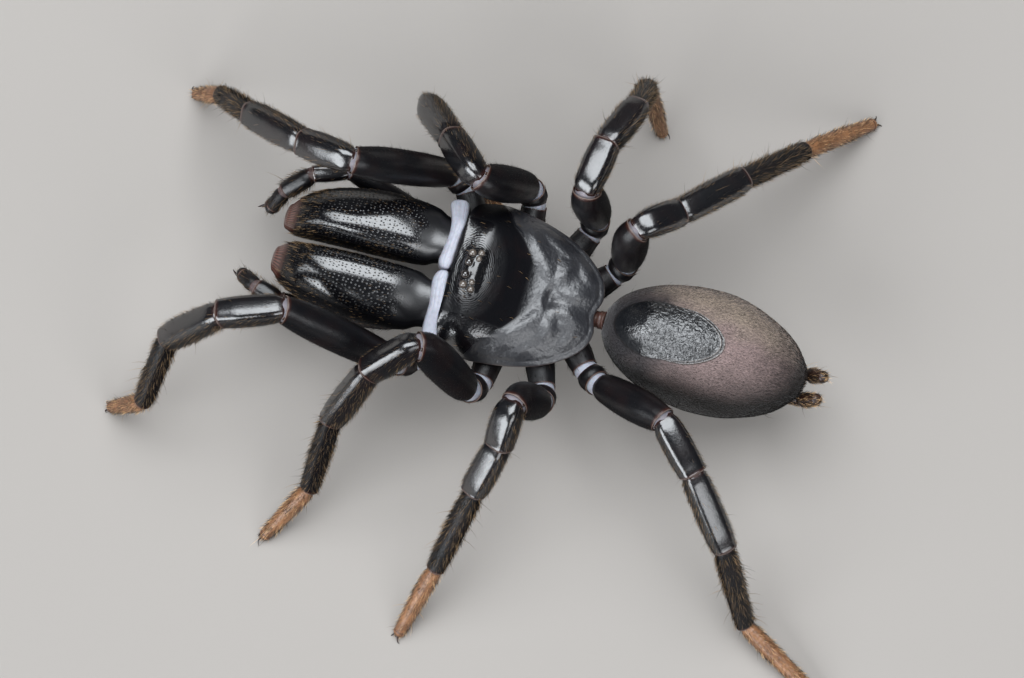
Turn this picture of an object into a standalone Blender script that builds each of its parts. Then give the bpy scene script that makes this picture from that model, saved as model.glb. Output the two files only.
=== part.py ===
"""Male purseweb spider, life size, standing still on the tips of its eight legs.

Every size below is in millimetres, in the spider's own frame: head towards -X, its right side towards +Y, up +Z,
the middle line at Y = 0 and the ground at Z = 0. The finished solids are turned into metres and centred.
Each limb is one rounded tube swept from joint to joint and parted with thin cuts at the joints.
"""
import math

import bmesh
import bpy
from mathutils import Matrix, Vector

MILLIMETRE = 0.001
CUT = 0.05  # width of the thin cut between neighbouring pieces
SIDES = ("right", "left")
SIGN = {"right": 1.0, "left": -1.0}

# Walking legs: lengths of trochanter, femur, patella, tibia, metatarsus and tarsus, the same on both sides
SEGMENTS = ("trochanter", "femur", "patella", "tibia", "metatarsus", "tarsus")
LEG_LENGTHS = {
    1: (0.50, 3.45, 1.45, 1.85, 1.90, 1.40),
    2: (0.50, 2.60, 1.50, 1.75, 2.05, 1.65),
    3: (0.50, 2.10, 1.25, 1.40, 2.30, 1.90),
    4: (0.50, 2.20, 1.40, 2.05, 2.40, 2.45),
}
# Where each coxa ends, beside the carapace, and the point of the middle line that it grows away from
COXA_HEIGHT = 2.10
COXA_ENDS = {1: (-2.00, 2.10), 2: (-0.40, 2.20), 3: (1.03, 1.93), 4: (1.84, 1.18)}
COXA_AIMS = {1: -0.75, 2: -0.28, 3: 0.22, 4: 0.80}
# Pose of each leg, one pair of degrees for femur, patella, tibia, metatarsus and tarsus: turn away from straight
# ahead, and rise above level. A rise past -90 draws the foot in under the knee. The trochanter halves the bend
# between coxa and femur, and the last rise is set by the ground.
POSE = {
    ("right", 1): ((-22, 45), (11, -30), (20, -36), (33, -58), (12, -62)),
    ("right", 2): ((-30, 59), (46, -30), (48, -46), (28, -130), (35, -143)),
    ("right", 3): ((4, 77), (97, -2), (110, -25), (96, -64), (40, -117)),
    ("right", 4): ((66, 81), (138, -30), (131, -25), (131, -38), (134, -36)),
    ("left", 1): ((-1, 36), (20, -12), (32, -48), (83, -44), (8, -59)),
    ("left", 2): ((-15, 57), (43, -33), (65, -45), (88, -46), (60, -35)),
    ("left", 3): ((34, 69), (90, -37), (77, -39), (79, -40), (76, -37)),
    ("left", 4): ((160, 38), (137, -14), (134, -31), (129, -46), (153, -9)),
}
# Half width and half depth of each segment at its thickest
THICKNESS = {
    "coxa": (0.34, 0.36),
    "trochanter": (0.34, 0.34),
    "femur": (0.39, 0.43),
    "patella": (0.34, 0.35),
    "tibia": (0.32, 0.33),
    "metatarsus": (0.25, 0.25),
    "tarsus": (0.20, 0.20),
    "palp_coxa": (0.26, 0.28),
    "palp_trochanter": (0.22, 0.22),
    "palp_femur": (0.23, 0.26),
    "palp_patella": (0.21, 0.21),
    "palp_tibia": (0.22, 0.23),
    "palp_tarsus": (0.19, 0.18),
    "spinneret": (0.17, 0.17),
    "small_spinneret": (0.10, 0.10),
}
# Share of the full thickness along each segment, from its start to its end
TAPER = {
    "coxa": ((0.0, 0.86), (0.5, 1.0), (1.0, 0.84)),
    "trochanter": ((0.0, 0.88), (0.5, 1.0), (1.0, 0.86)),
    "femur": ((0.0, 0.68), (0.12, 0.86), (0.4, 1.0), (0.75, 1.0), (1.0, 0.80)),
    "patella": ((0.0, 0.86), (0.25, 0.98), (0.7, 1.02), (1.0, 0.93)),
    "tibia": ((0.0, 0.88), (0.2, 0.98), (0.8, 1.0), (1.0, 0.86)),
    "metatarsus": ((0.0, 0.92), (0.2, 1.0), (0.8, 0.94), (1.0, 0.84)),
    "tarsus": ((0.0, 0.88), (0.2, 1.0), (0.7, 0.88), (1.0, 0.70)),
}
for segment in ("coxa", "trochanter", "femur", "patella", "tibia", "tarsus"):
    TAPER[f"palp_{segment}"] = TAPER[segment]
for segment in ("spinneret", "small_spinneret"):
    TAPER[segment] = TAPER["tarsus"]
LEG_SIDES = 8
BEND_RADIUS = 0.34
PINCH = 0.86  # share of a bend's radius that the inner side of the limb fills
FOOT_HEIGHT = 0.10  # height of the middle of each foot's tip, which is cut flat where it meets the ground
FOOT_RADIUS = 0.15
TIP_ROUNDING = 0.6  # how far along the foot's rounded tip its last ring stands

# Pedipalps: the joints from the coxa's root to the tip of the tarsus, and the bulb under the tarsus
PALP_JOINTS = {
    "right": (
        (-1.52, 0.56, 1.64), (-2.35, 1.02, 1.56), (-2.62, 1.28, 1.58), (-4.72, 1.66, 2.20),
        (-5.52, 1.36, 2.12), (-6.04, 0.86, 1.72), (-6.24, 0.46, 1.36),
    ),
    "left": (
        (-1.52, -0.56, 1.64), (-2.35, -1.02, 1.56), (-2.62, -1.28, 1.50), (-4.62, -1.56, 1.30),
        (-5.42, -1.62, 1.62), (-6.02, -1.48, 1.60), (-6.42, -1.22, 1.34),
    ),
}
PALP_BEND_RADIUS = 0.22
PALP_TIP = 0.10
BULB_RADIUS = 0.20
BULB_BACK = 0.16  # from the tip back along the tarsus
BULB_SHIFT = (-0.04, -0.04, -0.16)

# Carapace: half of its outline from the front round to the rear, and the heights of its parts
CARAPACE_OUTLINE = (
    (-1.83, 0.00), (-1.81, 0.55), (-1.79, 1.10), (-1.70, 1.50), (-1.42, 1.77), (-0.95, 1.86), (-0.35, 1.80),
    (0.25, 1.68), (0.80, 1.48), (1.28, 1.18), (1.62, 0.82), (1.74, 0.42), (1.64, 0.00),
)
CARAPACE_UNDERSIDE = 2.55
CARAPACE_RIM = 2.66
CAPUT_RISE = 0.86
CROWN_DROP = 0.53  # share of the caput's rise that is lost towards the fovea
CROWN_SPAN = (-1.40, 0.50)
CROWN_ROUNDING = 0.18
CLYPEUS_RISE = 0.58  # the rim is this much higher in front
CLYPEUS_SPAN = (-1.30, -1.80)
THORAX_RISE = 0.46
FOVEA = (0.64, 0.0)
FURROW_START = (-0.75, 1.50)
EYE_MOUND = (-1.34, 0.0)
EYE_MOUND_RISE = 0.12
FOVEA_DEPTH = 0.10
FURROW_HALF_WIDTH = 0.16
CAPUT_REAR_HALF = 0.22
CARAPACE_MIDDLE = (-0.30, 0.0)
CARAPACE_RINGS = (1.0, 0.965, 0.90, 0.80, 0.66, 0.52, 0.38, 0.25, 0.12)  # from the rim to the middle

# Eyes: how far ahead, how far to the side, radius; the outer three of each side sit on one low pad
MEDIAN_EYE = (-1.46, 0.15, 0.085)
SIDE_EYES = ((-1.44, 0.385, 0.085), (-1.24, 0.44, 0.075), (-1.26, 0.285, 0.065))
SIDE_EYE_PAD = (-1.31, 0.375, 0.20, 0.06)

# Sternum: an oval block that carries the carapace and that the coxae grow from
STERNUM_CENTRE = -0.10
STERNUM_HALF = (1.42, 0.74)
STERNUM_HEIGHTS = (1.42, 2.50)

# Chelicerae: distance along from the root, half width, top and bottom heights, distance out from the pair's middle
CHELICERA_STATIONS = (
    (0.00, 0.58, 2.98, 2.02, 0.78),
    (0.22, 0.68, 3.12, 1.94, 0.79),
    (0.70, 0.74, 3.26, 1.82, 0.81),
    (1.45, 0.75, 3.36, 1.72, 0.81),
    (2.20, 0.70, 3.36, 1.62, 0.77),
    (2.85, 0.60, 3.20, 1.55, 0.69),
    (3.30, 0.46, 2.86, 1.54, 0.59),
    (3.55, 0.28, 2.44, 1.66, 0.52),
)
CHELICERA_ROOT_X = -2.22
CHELICERA_DRIFT = (-0.10, -0.27)  # the pair is held a few degrees to the spider's left
CHELICERA_SIDES = 18
CHELICERA_RINGS = (0.0, 0.1, 0.25, 0.55, 0.95, 1.4, 1.85, 2.3, 2.7, 3.0, 3.25, 3.42, 3.52)
CHELICERA_TIP_HEIGHT = 2.00
CHELICERA_RIDGE_SHIFT = 0.30  # the top ridge is this share of the half width nearer to the other chelicera

# Fang, folded back under its chelicera: where it starts, its length, height, sag, lift, splay and radii
FANG_START = 3.30
FANG_LENGTH = 2.55
FANG_HEIGHT = 1.28
FANG_SAG = 0.16
FANG_LIFT = 0.06
FANG_SPLAY = 0.10
FANG_RADII = (0.20, 0.05)

# Soft fold between the carapace's front edge and the chelicerae, notched at the middle
FOLD_MIDDLE = (-2.03, -0.05)
FOLD_HALF_WIDTH = 1.50
FOLD_HALF_THICKNESS = 0.13
FOLD_HEIGHTS = (2.64, 3.18)
FOLD_NOTCH = (0.12, 0.10, 0.07)  # half width, depth from above and depth from each side

# Pedicel, the narrow stalk between carapace and abdomen: its ends seen from the side, and its radius
PEDICEL_ENDS = ((1.38, 2.20), (1.86, 2.40))
PEDICEL_RADIUS = 0.20

# Abdomen: distance along from its front, half width, top height and bottom height
ABDOMEN_FRONT = 1.92
ABDOMEN_STATIONS = (
    (0.00, 0.30, 2.72, 2.18),
    (0.25, 0.66, 3.06, 1.84),
    (0.75, 1.03, 3.36, 1.50),
    (1.50, 1.32, 3.58, 1.24),
    (2.40, 1.43, 3.66, 1.12),
    (3.20, 1.36, 3.58, 1.18),
    (3.90, 1.10, 3.34, 1.40),
    (4.40, 0.78, 3.04, 1.66),
    (4.75, 0.38, 2.66, 2.00),
)
ABDOMEN_SIDES = 28
ABDOMEN_RINGS = (0.0, 0.1, 0.25, 0.5, 0.8, 1.2, 1.6, 2.0, 2.4, 2.8, 3.2, 3.55, 3.9, 4.2, 4.45, 4.65, 4.75)
ABDOMEN_END = (4.83, 2.33)
SCUTUM_CENTRE = (3.42, -0.03)
SCUTUM_HALF = (1.30, 0.72)
SCUTUM_THICKNESS = 0.14
SCUTUM_SIDES = 30
SCUTUM_RINGS = (0.25, 0.50, 0.72, 0.88, 0.97)
SPINNERET_JOINTS = {
    "spinneret": ((6.46, 0.27, 1.66), (6.80, 0.31, 1.78), (7.12, 0.28, 2.20)),
    "small_spinneret": ((6.22, 0.10, 1.44), (6.44, 0.11, 1.38), (6.60, 0.11, 1.42)),
}
SPINNERET_BEND_RADIUS = 0.20
SPINNERET_TIP = 0.05

COLOURS = {
    "carapace_chitin": ("#26262A", 0.38),
    "leg_chitin": ("#17171B", 0.40),
    "tarsus_chitin": ("#A8643A", 0.50),
    "joint_membrane": ("#B9B3C4", 0.48),
    "abdomen_skin": ("#6E6066", 0.72),
    "scutum_chitin": ("#1C1C20", 0.36),
    "chelicera_chitin": ("#131316", 0.26),
    "fang_chitin": ("#3A1A10", 0.22),
    "eye_lens": ("#8E7A5C", 0.08),
    "sternum_chitin": ("#5A3E2E", 0.45),
}


def clear_scene():
    for item in list(bpy.data.objects):
        bpy.data.objects.remove(item, do_unlink=True)


def to_linear(code):
    channels = []
    for start in (1, 3, 5):
        value = int(code[start:start + 2], 16) / 255
        channels.append(value / 12.92 if value <= 0.04045 else ((value + 0.055) / 1.055) ** 2.4)
    return (*channels, 1.0)


def make_materials():
    materials = {}
    for name, (code, roughness) in COLOURS.items():
        made = bpy.data.materials.new(name)
        made.use_nodes = True
        shader = made.node_tree.nodes["Principled BSDF"]
        shader.inputs["Base Color"].default_value = to_linear(code)
        shader.inputs["Roughness"].default_value = roughness
        shader.inputs["Metallic"].default_value = 0.0
        made.diffuse_color = to_linear(code)
        materials[name] = made
    return materials


def smooth_step(low, high, value):
    share = min(1.0, max(0.0, (value - low) / (high - low)))
    return share * share * (3 - 2 * share)


def read_stations(stations, along):
    """The values of a row of stations at one distance along, on a smooth curve through them."""
    along = min(max(along, stations[0][0]), stations[-1][0])
    last = len(stations) - 1
    index = max(i for i in range(last) if stations[i][0] <= along)
    share = (along - stations[index][0]) / (stations[index + 1][0] - stations[index][0])
    picked = [stations[min(max(index + step, 0), last)] for step in (-1, 0, 1, 2)]
    values = []
    for before, start, end, after in list(zip(*picked))[1:]:
        slope_in = (end - before) / 2
        slope_out = (after - start) / 2
        cube = 2 * start - 2 * end + slope_in + slope_out
        square = -3 * start + 3 * end - 2 * slope_in - slope_out
        values.append(((cube * share + square) * share + slope_in) * share + start)
    return values


def skin_rings(rings, start_pole=None, end_pole=None):
    """A closed mesh over rings of equally many points; an end without a pole gets a flat face."""
    mesh = bmesh.new()
    rows = [[mesh.verts.new(point) for point in ring] for ring in rings]
    count = len(rows[0])
    for row, following in zip(rows, rows[1:]):
        for i in range(count):
            j = (i + 1) % count
            mesh.faces.new((row[i], row[j], following[j], following[i]))
    for row, pole in ((rows[0], start_pole), (rows[-1], end_pole)):
        middle = Vector()
        for vert in row:
            middle += vert.co / count
        tip = mesh.verts.new(middle if pole is None else pole)
        for i in range(count):
            mesh.faces.new((row[i], row[(i + 1) % count], tip))
    bmesh.ops.recalc_face_normals(mesh, faces=mesh.faces)
    return mesh


def to_object(name, mesh, material, collection):
    bmesh.ops.triangulate(mesh, faces=mesh.faces)
    data = bpy.data.meshes.new(name)
    mesh.to_mesh(data)
    mesh.free()
    data.materials.append(material)
    made = bpy.data.objects.new(name, data)
    collection.objects.link(made)
    return made


def oval(centre, side, up, half_side, half_up, count, power=2.0):
    """A closed ring of points; a power above 2 makes it squarer."""
    ring = []
    for i in range(count):
        angle = math.tau * i / count
        across, along = math.cos(angle), math.sin(angle)
        across = math.copysign(abs(across) ** (2 / power), across)
        along = math.copysign(abs(along) ** (2 / power), along)
        ring.append(centre + side * (half_side * across) + up * (half_up * along))
    return ring


def rounded_stretches(joints, bend_radius, inner=3):
    """A path with rounded corners, as one list of samples for each segment.

    Each list runs from the middle of one corner to the middle of the next. A sample is a point, its direction, its
    share of the segment's length, and the middle of the corner's curve, or None on the straight.
    """
    runs = [end - start for start, end in zip(joints, joints[1:])]
    bends = [[(joints[0], runs[0].normalized(), 0.0, None)]]
    for i in range(1, len(runs)):
        before, after = runs[i - 1].normalized(), runs[i].normalized()
        angle = before.angle(after)
        reach = min(bend_radius * math.tan(angle / 2), 0.40 * runs[i - 1].length, 0.40 * runs[i].length)
        radius = reach / math.tan(angle / 2)
        axis = before.cross(after).normalized()
        centre = joints[i] + (after - before).normalized() * (radius / math.cos(angle / 2))
        start = joints[i] - before * reach
        steps = 2 * max(1, round(math.degrees(angle) / 45))
        arc = []
        for step in range(steps + 1):
            turn = Matrix.Rotation(angle * step / steps, 3, axis)
            share = reach * abs(2 * step / steps - 1)
            arc.append((centre + turn @ (start - centre), turn @ before, share, centre))
        bends.append(arc)
    bends.append([(joints[-1], runs[-1].normalized(), 0.0, None)])

    stretches = []
    for i, run in enumerate(runs):
        opening = bends[i][len(bends[i]) // 2:]
        closing = bends[i + 1][:len(bends[i + 1]) // 2 + 1]
        samples = [(point, way, share / run.length, curve) for point, way, share, curve in opening]
        first, last = opening[-1][2] / run.length, 1 - closing[0][2] / run.length
        for step in range(1, inner + 1):
            share = first + (last - first) * step / (inner + 1)
            samples.append((joints[i] + run * share, run.normalized(), share, None))
        samples += [(point, way, 1 - share / run.length, curve) for point, way, share, curve in closing]
        stretches.append(samples)
    return stretches


def carry_sides(stretches):
    """A sideways direction for every sample, level at the start and carried along without twisting."""
    way = stretches[0][0][1]
    side = way.cross(Vector((0, 0, 1))).normalized()
    carried = []
    for stretch in stretches:
        row = []
        for _, direction, _, _ in stretch:
            side = way.rotation_difference(direction) @ side
            way = direction
            row.append(side.copy())
        carried.append(row)
    return carried


def pinch(ring, point, curve):
    """Presses in the inner side of a ring on a bend, so that the ring stays short of the middle of the curve."""
    inward = curve - point
    room = PINCH * inward.length
    inward = inward.normalized()
    return [place - inward * max(0.0, (place - point).dot(inward) - room) for place in ring]


def limb_piece(stretches, sides, kinds, cut_start=True, cut_end=True, count=LEG_SIDES):
    """The rings of one node: some stretches of a limb, shortened at both ends by half a cut."""
    rings = []
    for number, (stretch, row, kind) in enumerate(zip(stretches, sides, kinds)):
        for index, ((point, way, share, curve), side) in enumerate(zip(stretch, row)):
            if number and not index:
                continue
            width, depth = THICKNESS[kind]
            factor = read_stations(TAPER[kind], share)[0]
            first = not number and not index
            last = number == len(stretches) - 1 and index == len(stretch) - 1
            centre = point.copy()
            if first and cut_start:
                centre += way * (CUT / 2)
            if last and cut_end:
                centre -= way * (CUT / 2)
            ring = oval(centre, side, way.cross(side), width * factor, depth * factor, count)
            rings.append(ring if curve is None else pinch(ring, point, curve))
    return rings


def heading(side, turn, rise):
    turn, rise = math.radians(turn), math.radians(rise)
    return Vector((
        -math.cos(rise) * math.cos(turn),
        SIGN[side] * math.cos(rise) * math.sin(turn),
        math.sin(rise),
    ))


def sternum_edge(side, number):
    """Where a coxa leaves the sternum: just outside its oval, on the line to the coxa's end."""
    aim = Vector((COXA_AIMS[number], 0.0, COXA_HEIGHT - 0.08))
    end = Vector((COXA_ENDS[number][0], SIGN[side] * COXA_ENDS[number][1], COXA_HEIGHT))
    share = 0.0
    while share < 1.0:
        point = aim.lerp(end, share)
        across = (point.x - STERNUM_CENTRE) / (STERNUM_HALF[0] + CUT)
        along = point.y / (STERNUM_HALF[1] + CUT)
        if across ** 2 + along ** 2 > 1.0:
            return aim.lerp(end, share + 0.05)
        share += 0.01
    raise ValueError("a coxa's end lies inside the sternum")


def leg_joints(side, number):
    """The places of a leg's joints, from the coxa's root to the foot's tip, which stands on the ground."""
    root = sternum_edge(side, number)
    place = Vector((COXA_ENDS[number][0], SIGN[side] * COXA_ENDS[number][1], COXA_HEIGHT))
    joints = [root, place]
    halfway = (place - root).normalized() + heading(side, *POSE[side, number][0])
    place = place + halfway.normalized() * LEG_LENGTHS[number][0]
    joints.append(place)
    for name, length, (turn, rise) in zip(SEGMENTS[1:], LEG_LENGTHS[number][1:], POSE[side, number]):
        if name == "tarsus":
            fall = math.degrees(math.asin((place.z - FOOT_HEIGHT) / length))
            rise = -180 + fall if rise < -90 else -fall
        place = place + heading(side, turn, rise) * length
        joints.append(place)
    return joints


def stand_flat(mesh):
    """Cuts away what lies under the ground and closes the cut, which leaves a small flat."""
    geometry = mesh.verts[:] + mesh.edges[:] + mesh.faces[:]
    cut = bmesh.ops.bisect_plane(
        mesh, geom=geometry, dist=1e-5, plane_co=(0, 0, 0), plane_no=(0, 0, 1), clear_inner=True
    )
    edges = [item for item in cut["geom_cut"] if isinstance(item, bmesh.types.BMEdge)]
    bmesh.ops.contextual_create(mesh, geom=edges)
    bmesh.ops.recalc_face_normals(mesh, faces=mesh.faces)


def build_leg(side, number, materials, collection):
    joints = leg_joints(side, number)
    stretches = rounded_stretches(joints, BEND_RADIUS)
    sides = carry_sides(stretches)
    name = f"leg_{side}_{number}"
    pieces = (
        ("coxa", (0, 1), ("coxa", "trochanter"), "leg_chitin"),
        ("femur", (2,), ("femur",), "leg_chitin"),
        ("tibia", (3, 4), ("patella", "tibia"), "leg_chitin"),
        ("tarsus", (5, 6), ("metatarsus", "tarsus"), "tarsus_chitin"),
    )
    for piece, picked, kinds, finish in pieces:
        foot = piece == "tarsus"
        rings = limb_piece([stretches[i] for i in picked], [sides[i] for i in picked], kinds, cut_end=not foot)
        tip = None
        if foot:
            point, way, _, _ = stretches[-1][-1]
            side_way = sides[-1][-1]
            rings.pop()
            for ahead in (0.0, TIP_ROUNDING):
                half = FOOT_RADIUS * math.sqrt(1 - ahead ** 2)
                centre = point + way * (ahead * FOOT_RADIUS)
                rings.append(oval(centre, side_way, way.cross(side_way), half, half, LEG_SIDES))
            tip = point + way * FOOT_RADIUS
        mesh = skin_rings(rings, end_pole=tip)
        if foot:
            stand_flat(mesh)
        to_object(f"{name}_{piece}", mesh, materials[finish], collection)


def carapace_height(x, y, reach):
    """Height of the carapace's upper face; reach runs from 0 at its middle to 1 at its rim."""
    front = smooth_step(0.9, -1.2, x)
    rise_of_edge = 1 - reach ** (3.0 + 5.0 * front)
    narrowing = smooth_step(FURROW_START[0], FOVEA[0], x)
    half_caput = FURROW_START[1] + (CAPUT_REAR_HALF - FURROW_START[1]) * narrowing
    if x < FURROW_START[0]:
        half_caput += 0.6
    inside = smooth_step(-FURROW_HALF_WIDTH, FURROW_HALF_WIDTH, half_caput - abs(y))
    inside *= smooth_step(FOVEA[0] + 0.25, FOVEA[0] - 0.55, x)
    crown = CAPUT_RISE * (1 - CROWN_DROP * smooth_step(*CROWN_SPAN, x))
    crown *= 1 - CROWN_ROUNDING * (y / FURROW_START[1]) ** 2
    clypeus = CLYPEUS_RISE * smooth_step(*CLYPEUS_SPAN, x)
    rise = THORAX_RISE + (crown - THORAX_RISE) * inside
    pit = FOVEA_DEPTH * math.exp(-((x - FOVEA[0]) ** 2 + (y - FOVEA[1]) ** 2) / 0.03)
    mound = EYE_MOUND_RISE * math.exp(-((x - EYE_MOUND[0]) / 0.24) ** 4 - ((y - EYE_MOUND[1]) / 0.50) ** 4)
    return CARAPACE_RIM + clypeus + (rise - clypeus) * rise_of_edge - pit + mound


def closed_outline(half, per_span):
    """A smooth closed curve through a half outline and its mirror image."""
    points = [Vector(p) for p in half] + [Vector((x, -y)) for x, y in reversed(half[1:-1])]
    count = len(points)
    curve = []
    for i in range(count):
        before, start, end, after = (points[(i + step) % count] for step in (-1, 0, 1, 2))
        for step in range(per_span):
            t = step / per_span
            curve.append(
                ((2 * start) + (end - before) * t + (2 * before - 5 * start + 4 * end - after) * t * t
                 + (3 * start - before - 3 * end + after) * t ** 3) / 2
            )
    return curve


def build_carapace(materials, collection):
    outline = closed_outline(CARAPACE_OUTLINE, 2)
    middle = Vector(CARAPACE_MIDDLE)
    rings = [[Vector((*(middle + (p - middle) * 0.96), CARAPACE_UNDERSIDE)) for p in outline]]
    for reach in CARAPACE_RINGS:
        ring = []
        for p in outline:
            place = middle + (p - middle) * reach
            ring.append(Vector((*place, carapace_height(*place, reach))))
        rings.append(ring)
    top = Vector((*middle, carapace_height(*middle, 0.0)))
    to_object("carapace", skin_rings(rings, end_pole=top), materials["carapace_chitin"], collection)


def caput_surface(x, y):
    """Height of the carapace's upper face near the eyes."""
    return carapace_height(x, y, 0.55)


def build_eyes(materials, collection):
    for side in SIDES:
        x, y, radius = MEDIAN_EYE
        y *= SIGN[side]
        mesh = bmesh.new()
        bmesh.ops.create_uvsphere(mesh, u_segments=12, v_segments=8, radius=radius)
        bmesh.ops.translate(mesh, verts=mesh.verts, vec=(x, y, caput_surface(x, y) + radius + CUT))
        to_object(f"eye_median_{side}", mesh, materials["eye_lens"], collection)

        pad_x, pad_y, pad_half, pad_height = SIDE_EYE_PAD
        pad_y *= SIGN[side]
        level = caput_surface(pad_x, pad_y) + CUT
        lenses = bpy.data.collections.new(f"lenses_{side}")
        mesh = bmesh.new()
        bmesh.ops.create_uvsphere(mesh, u_segments=16, v_segments=8, radius=1.0)
        bmesh.ops.scale(mesh, verts=mesh.verts, vec=(pad_half, pad_half, pad_height))
        bmesh.ops.translate(mesh, verts=mesh.verts, vec=(pad_x, pad_y, level + pad_height))
        pad = to_object(f"eyes_{side}", mesh, materials["eye_lens"], collection)
        for number, (x, y, radius) in enumerate(SIDE_EYES):
            mesh = bmesh.new()
            bmesh.ops.create_uvsphere(mesh, u_segments=10, v_segments=6, radius=radius)
            height = level + pad_height + 0.6 * radius
            bmesh.ops.translate(mesh, verts=mesh.verts, vec=(x, SIGN[side] * y, height))
            to_object(f"lens_{side}_{number}", mesh, materials["eye_lens"], lenses)
        join_into(pad, lenses)


def join_into(target, pieces):
    """Fuses a collection of closed pieces with the target, keeps its largest closed surface, removes the pieces."""
    union = target.modifiers.new("join", "BOOLEAN")
    union.operation = "UNION"
    union.operand_type = "COLLECTION"
    union.collection = pieces
    union.solver = "EXACT"
    bpy.context.view_layer.update()
    graph = bpy.context.evaluated_depsgraph_get()
    joined = bpy.data.meshes.new_from_object(target.evaluated_get(graph))
    target.modifiers.remove(union)
    target.data = joined
    for piece in list(pieces.objects):
        bpy.data.objects.remove(piece, do_unlink=True)
    bpy.data.collections.remove(pieces)
    keep_largest(target)


def keep_largest(target):
    mesh = bmesh.new()
    mesh.from_mesh(target.data)
    unseen = set(mesh.verts)
    islands = []
    while unseen:
        found = {unseen.pop()}
        queue = list(found)
        while queue:
            for edge in queue.pop().link_edges:
                for vert in edge.verts:
                    if vert in unseen:
                        unseen.discard(vert)
                        found.add(vert)
                        queue.append(vert)
        islands.append(found)
    islands.sort(key=len)
    for island in islands[:-1]:
        bmesh.ops.delete(mesh, geom=list(island), context="VERTS")
    bmesh.ops.triangulate(mesh, faces=mesh.faces)
    mesh.to_mesh(target.data)
    mesh.free()


def build_sternum(materials, collection):
    low, high = STERNUM_HEIGHTS
    side, up = Vector((1, 0, 0)), Vector((0, 1, 0))
    rings = []
    for share, height in ((0.72, low), (0.90, low + 0.05), (1.0, low + 0.22), (1.0, high)):
        centre = Vector((STERNUM_CENTRE, 0, height))
        rings.append(oval(centre, side, up, STERNUM_HALF[0] * share, STERNUM_HALF[1] * share, 32))
    to_object("sternum", skin_rings(rings), materials["sternum_chitin"], collection)


def chelicera_centre(side, along):
    share = along / CHELICERA_STATIONS[-1][0]
    spread = read_stations(CHELICERA_STATIONS, along)[3]
    drift = CHELICERA_DRIFT[0] + (CHELICERA_DRIFT[1] - CHELICERA_DRIFT[0]) * share
    return Vector((CHELICERA_ROOT_X - along, SIGN[side] * spread + drift, 0.0))


def build_chelicera(side, materials, collection):
    rings = []
    for along in CHELICERA_RINGS:
        half_width, top, bottom, _ = read_stations(CHELICERA_STATIONS, along)
        centre = chelicera_centre(side, along) + Vector((0, 0, (top + bottom) / 2))
        half_height = (top - bottom) / 2
        ring = oval(centre, Vector((0, 1, 0)), Vector((0, 0, 1)), half_width, half_height, CHELICERA_SIDES, 2.3)
        for point in ring:
            lift = max(0.0, point.z - centre.z) / half_height
            point.y -= SIGN[side] * CHELICERA_RIDGE_SHIFT * half_width * lift ** 2
        rings.append(ring)
    tip = chelicera_centre(side, CHELICERA_STATIONS[-1][0]) + Vector((-0.06, 0, CHELICERA_TIP_HEIGHT))
    mesh = skin_rings(rings, end_pole=tip)
    to_object(f"chelicera_{side}", mesh, materials["chelicera_chitin"], collection)


def tapered_curve(name, points, radii, material, collection):
    """A smooth tube through points, with its own radius at each, as a mesh with welded caps."""
    curve = bpy.data.curves.new(name, "CURVE")
    curve.dimensions = "3D"
    curve.bevel_depth = 1.0
    curve.bevel_resolution = 2
    curve.use_fill_caps = True
    spline = curve.splines.new("POLY")
    spline.points.add(len(points) - 1)
    for item, point, radius in zip(spline.points, points, radii):
        item.co = (*point, 1.0)
        item.radius = radius
    guide = bpy.data.objects.new(name, curve)
    collection.objects.link(guide)
    bpy.context.view_layer.update()
    graph = bpy.context.evaluated_depsgraph_get()
    drawn = bpy.data.meshes.new_from_object(guide.evaluated_get(graph))
    bpy.data.objects.remove(guide, do_unlink=True)
    mesh = bmesh.new()
    mesh.from_mesh(drawn)
    bmesh.ops.remove_doubles(mesh, verts=mesh.verts, dist=1e-4)
    bmesh.ops.recalc_face_normals(mesh, faces=mesh.faces)
    return to_object(name, mesh, material, collection)


def build_fang(side, materials, collection):
    """The fang is folded back under its chelicera."""
    root = chelicera_centre(side, FANG_START)
    thick, thin = FANG_RADII
    points, radii = [], []
    for step in range(13):
        share = step / 12
        x = root.x + FANG_LENGTH * share
        z = FANG_HEIGHT - FANG_SAG * math.sin(math.pi * share) + FANG_LIFT * share
        points.append((x, root.y + SIGN[side] * FANG_SPLAY * share, z))
        radii.append(thin + (thick - thin) * (1 - share) ** 0.8)
    tapered_curve(f"fang_{side}", points, radii, materials["fang_chitin"], collection)


def build_cheliceral_membrane(materials, collection):
    """The soft pale fold between the carapace's front edge and the roots of the chelicerae."""
    bottom, highest = FOLD_HEIGHTS
    notch_half, notch_depth, notch_side = FOLD_NOTCH
    rings = []
    for step in range(13):
        share = step / 6 - 1
        notch = math.exp(-(FOLD_HALF_WIDTH * share / notch_half) ** 2)
        half_x = FOLD_HALF_THICKNESS - notch_side * notch
        x = FOLD_MIDDLE[0] + 0.01 * abs(share)
        top = highest - 0.10 * abs(share) ** 3 - notch_depth * notch
        centre = Vector((x, FOLD_MIDDLE[1] + FOLD_HALF_WIDTH * share, (top + bottom) / 2))
        rings.append(oval(centre, Vector((1, 0, 0)), Vector((0, 0, 1)), half_x, (top - bottom) / 2, 10, 2.6))
    to_object("cheliceral_membrane", skin_rings(rings), materials["joint_membrane"], collection)


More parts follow.
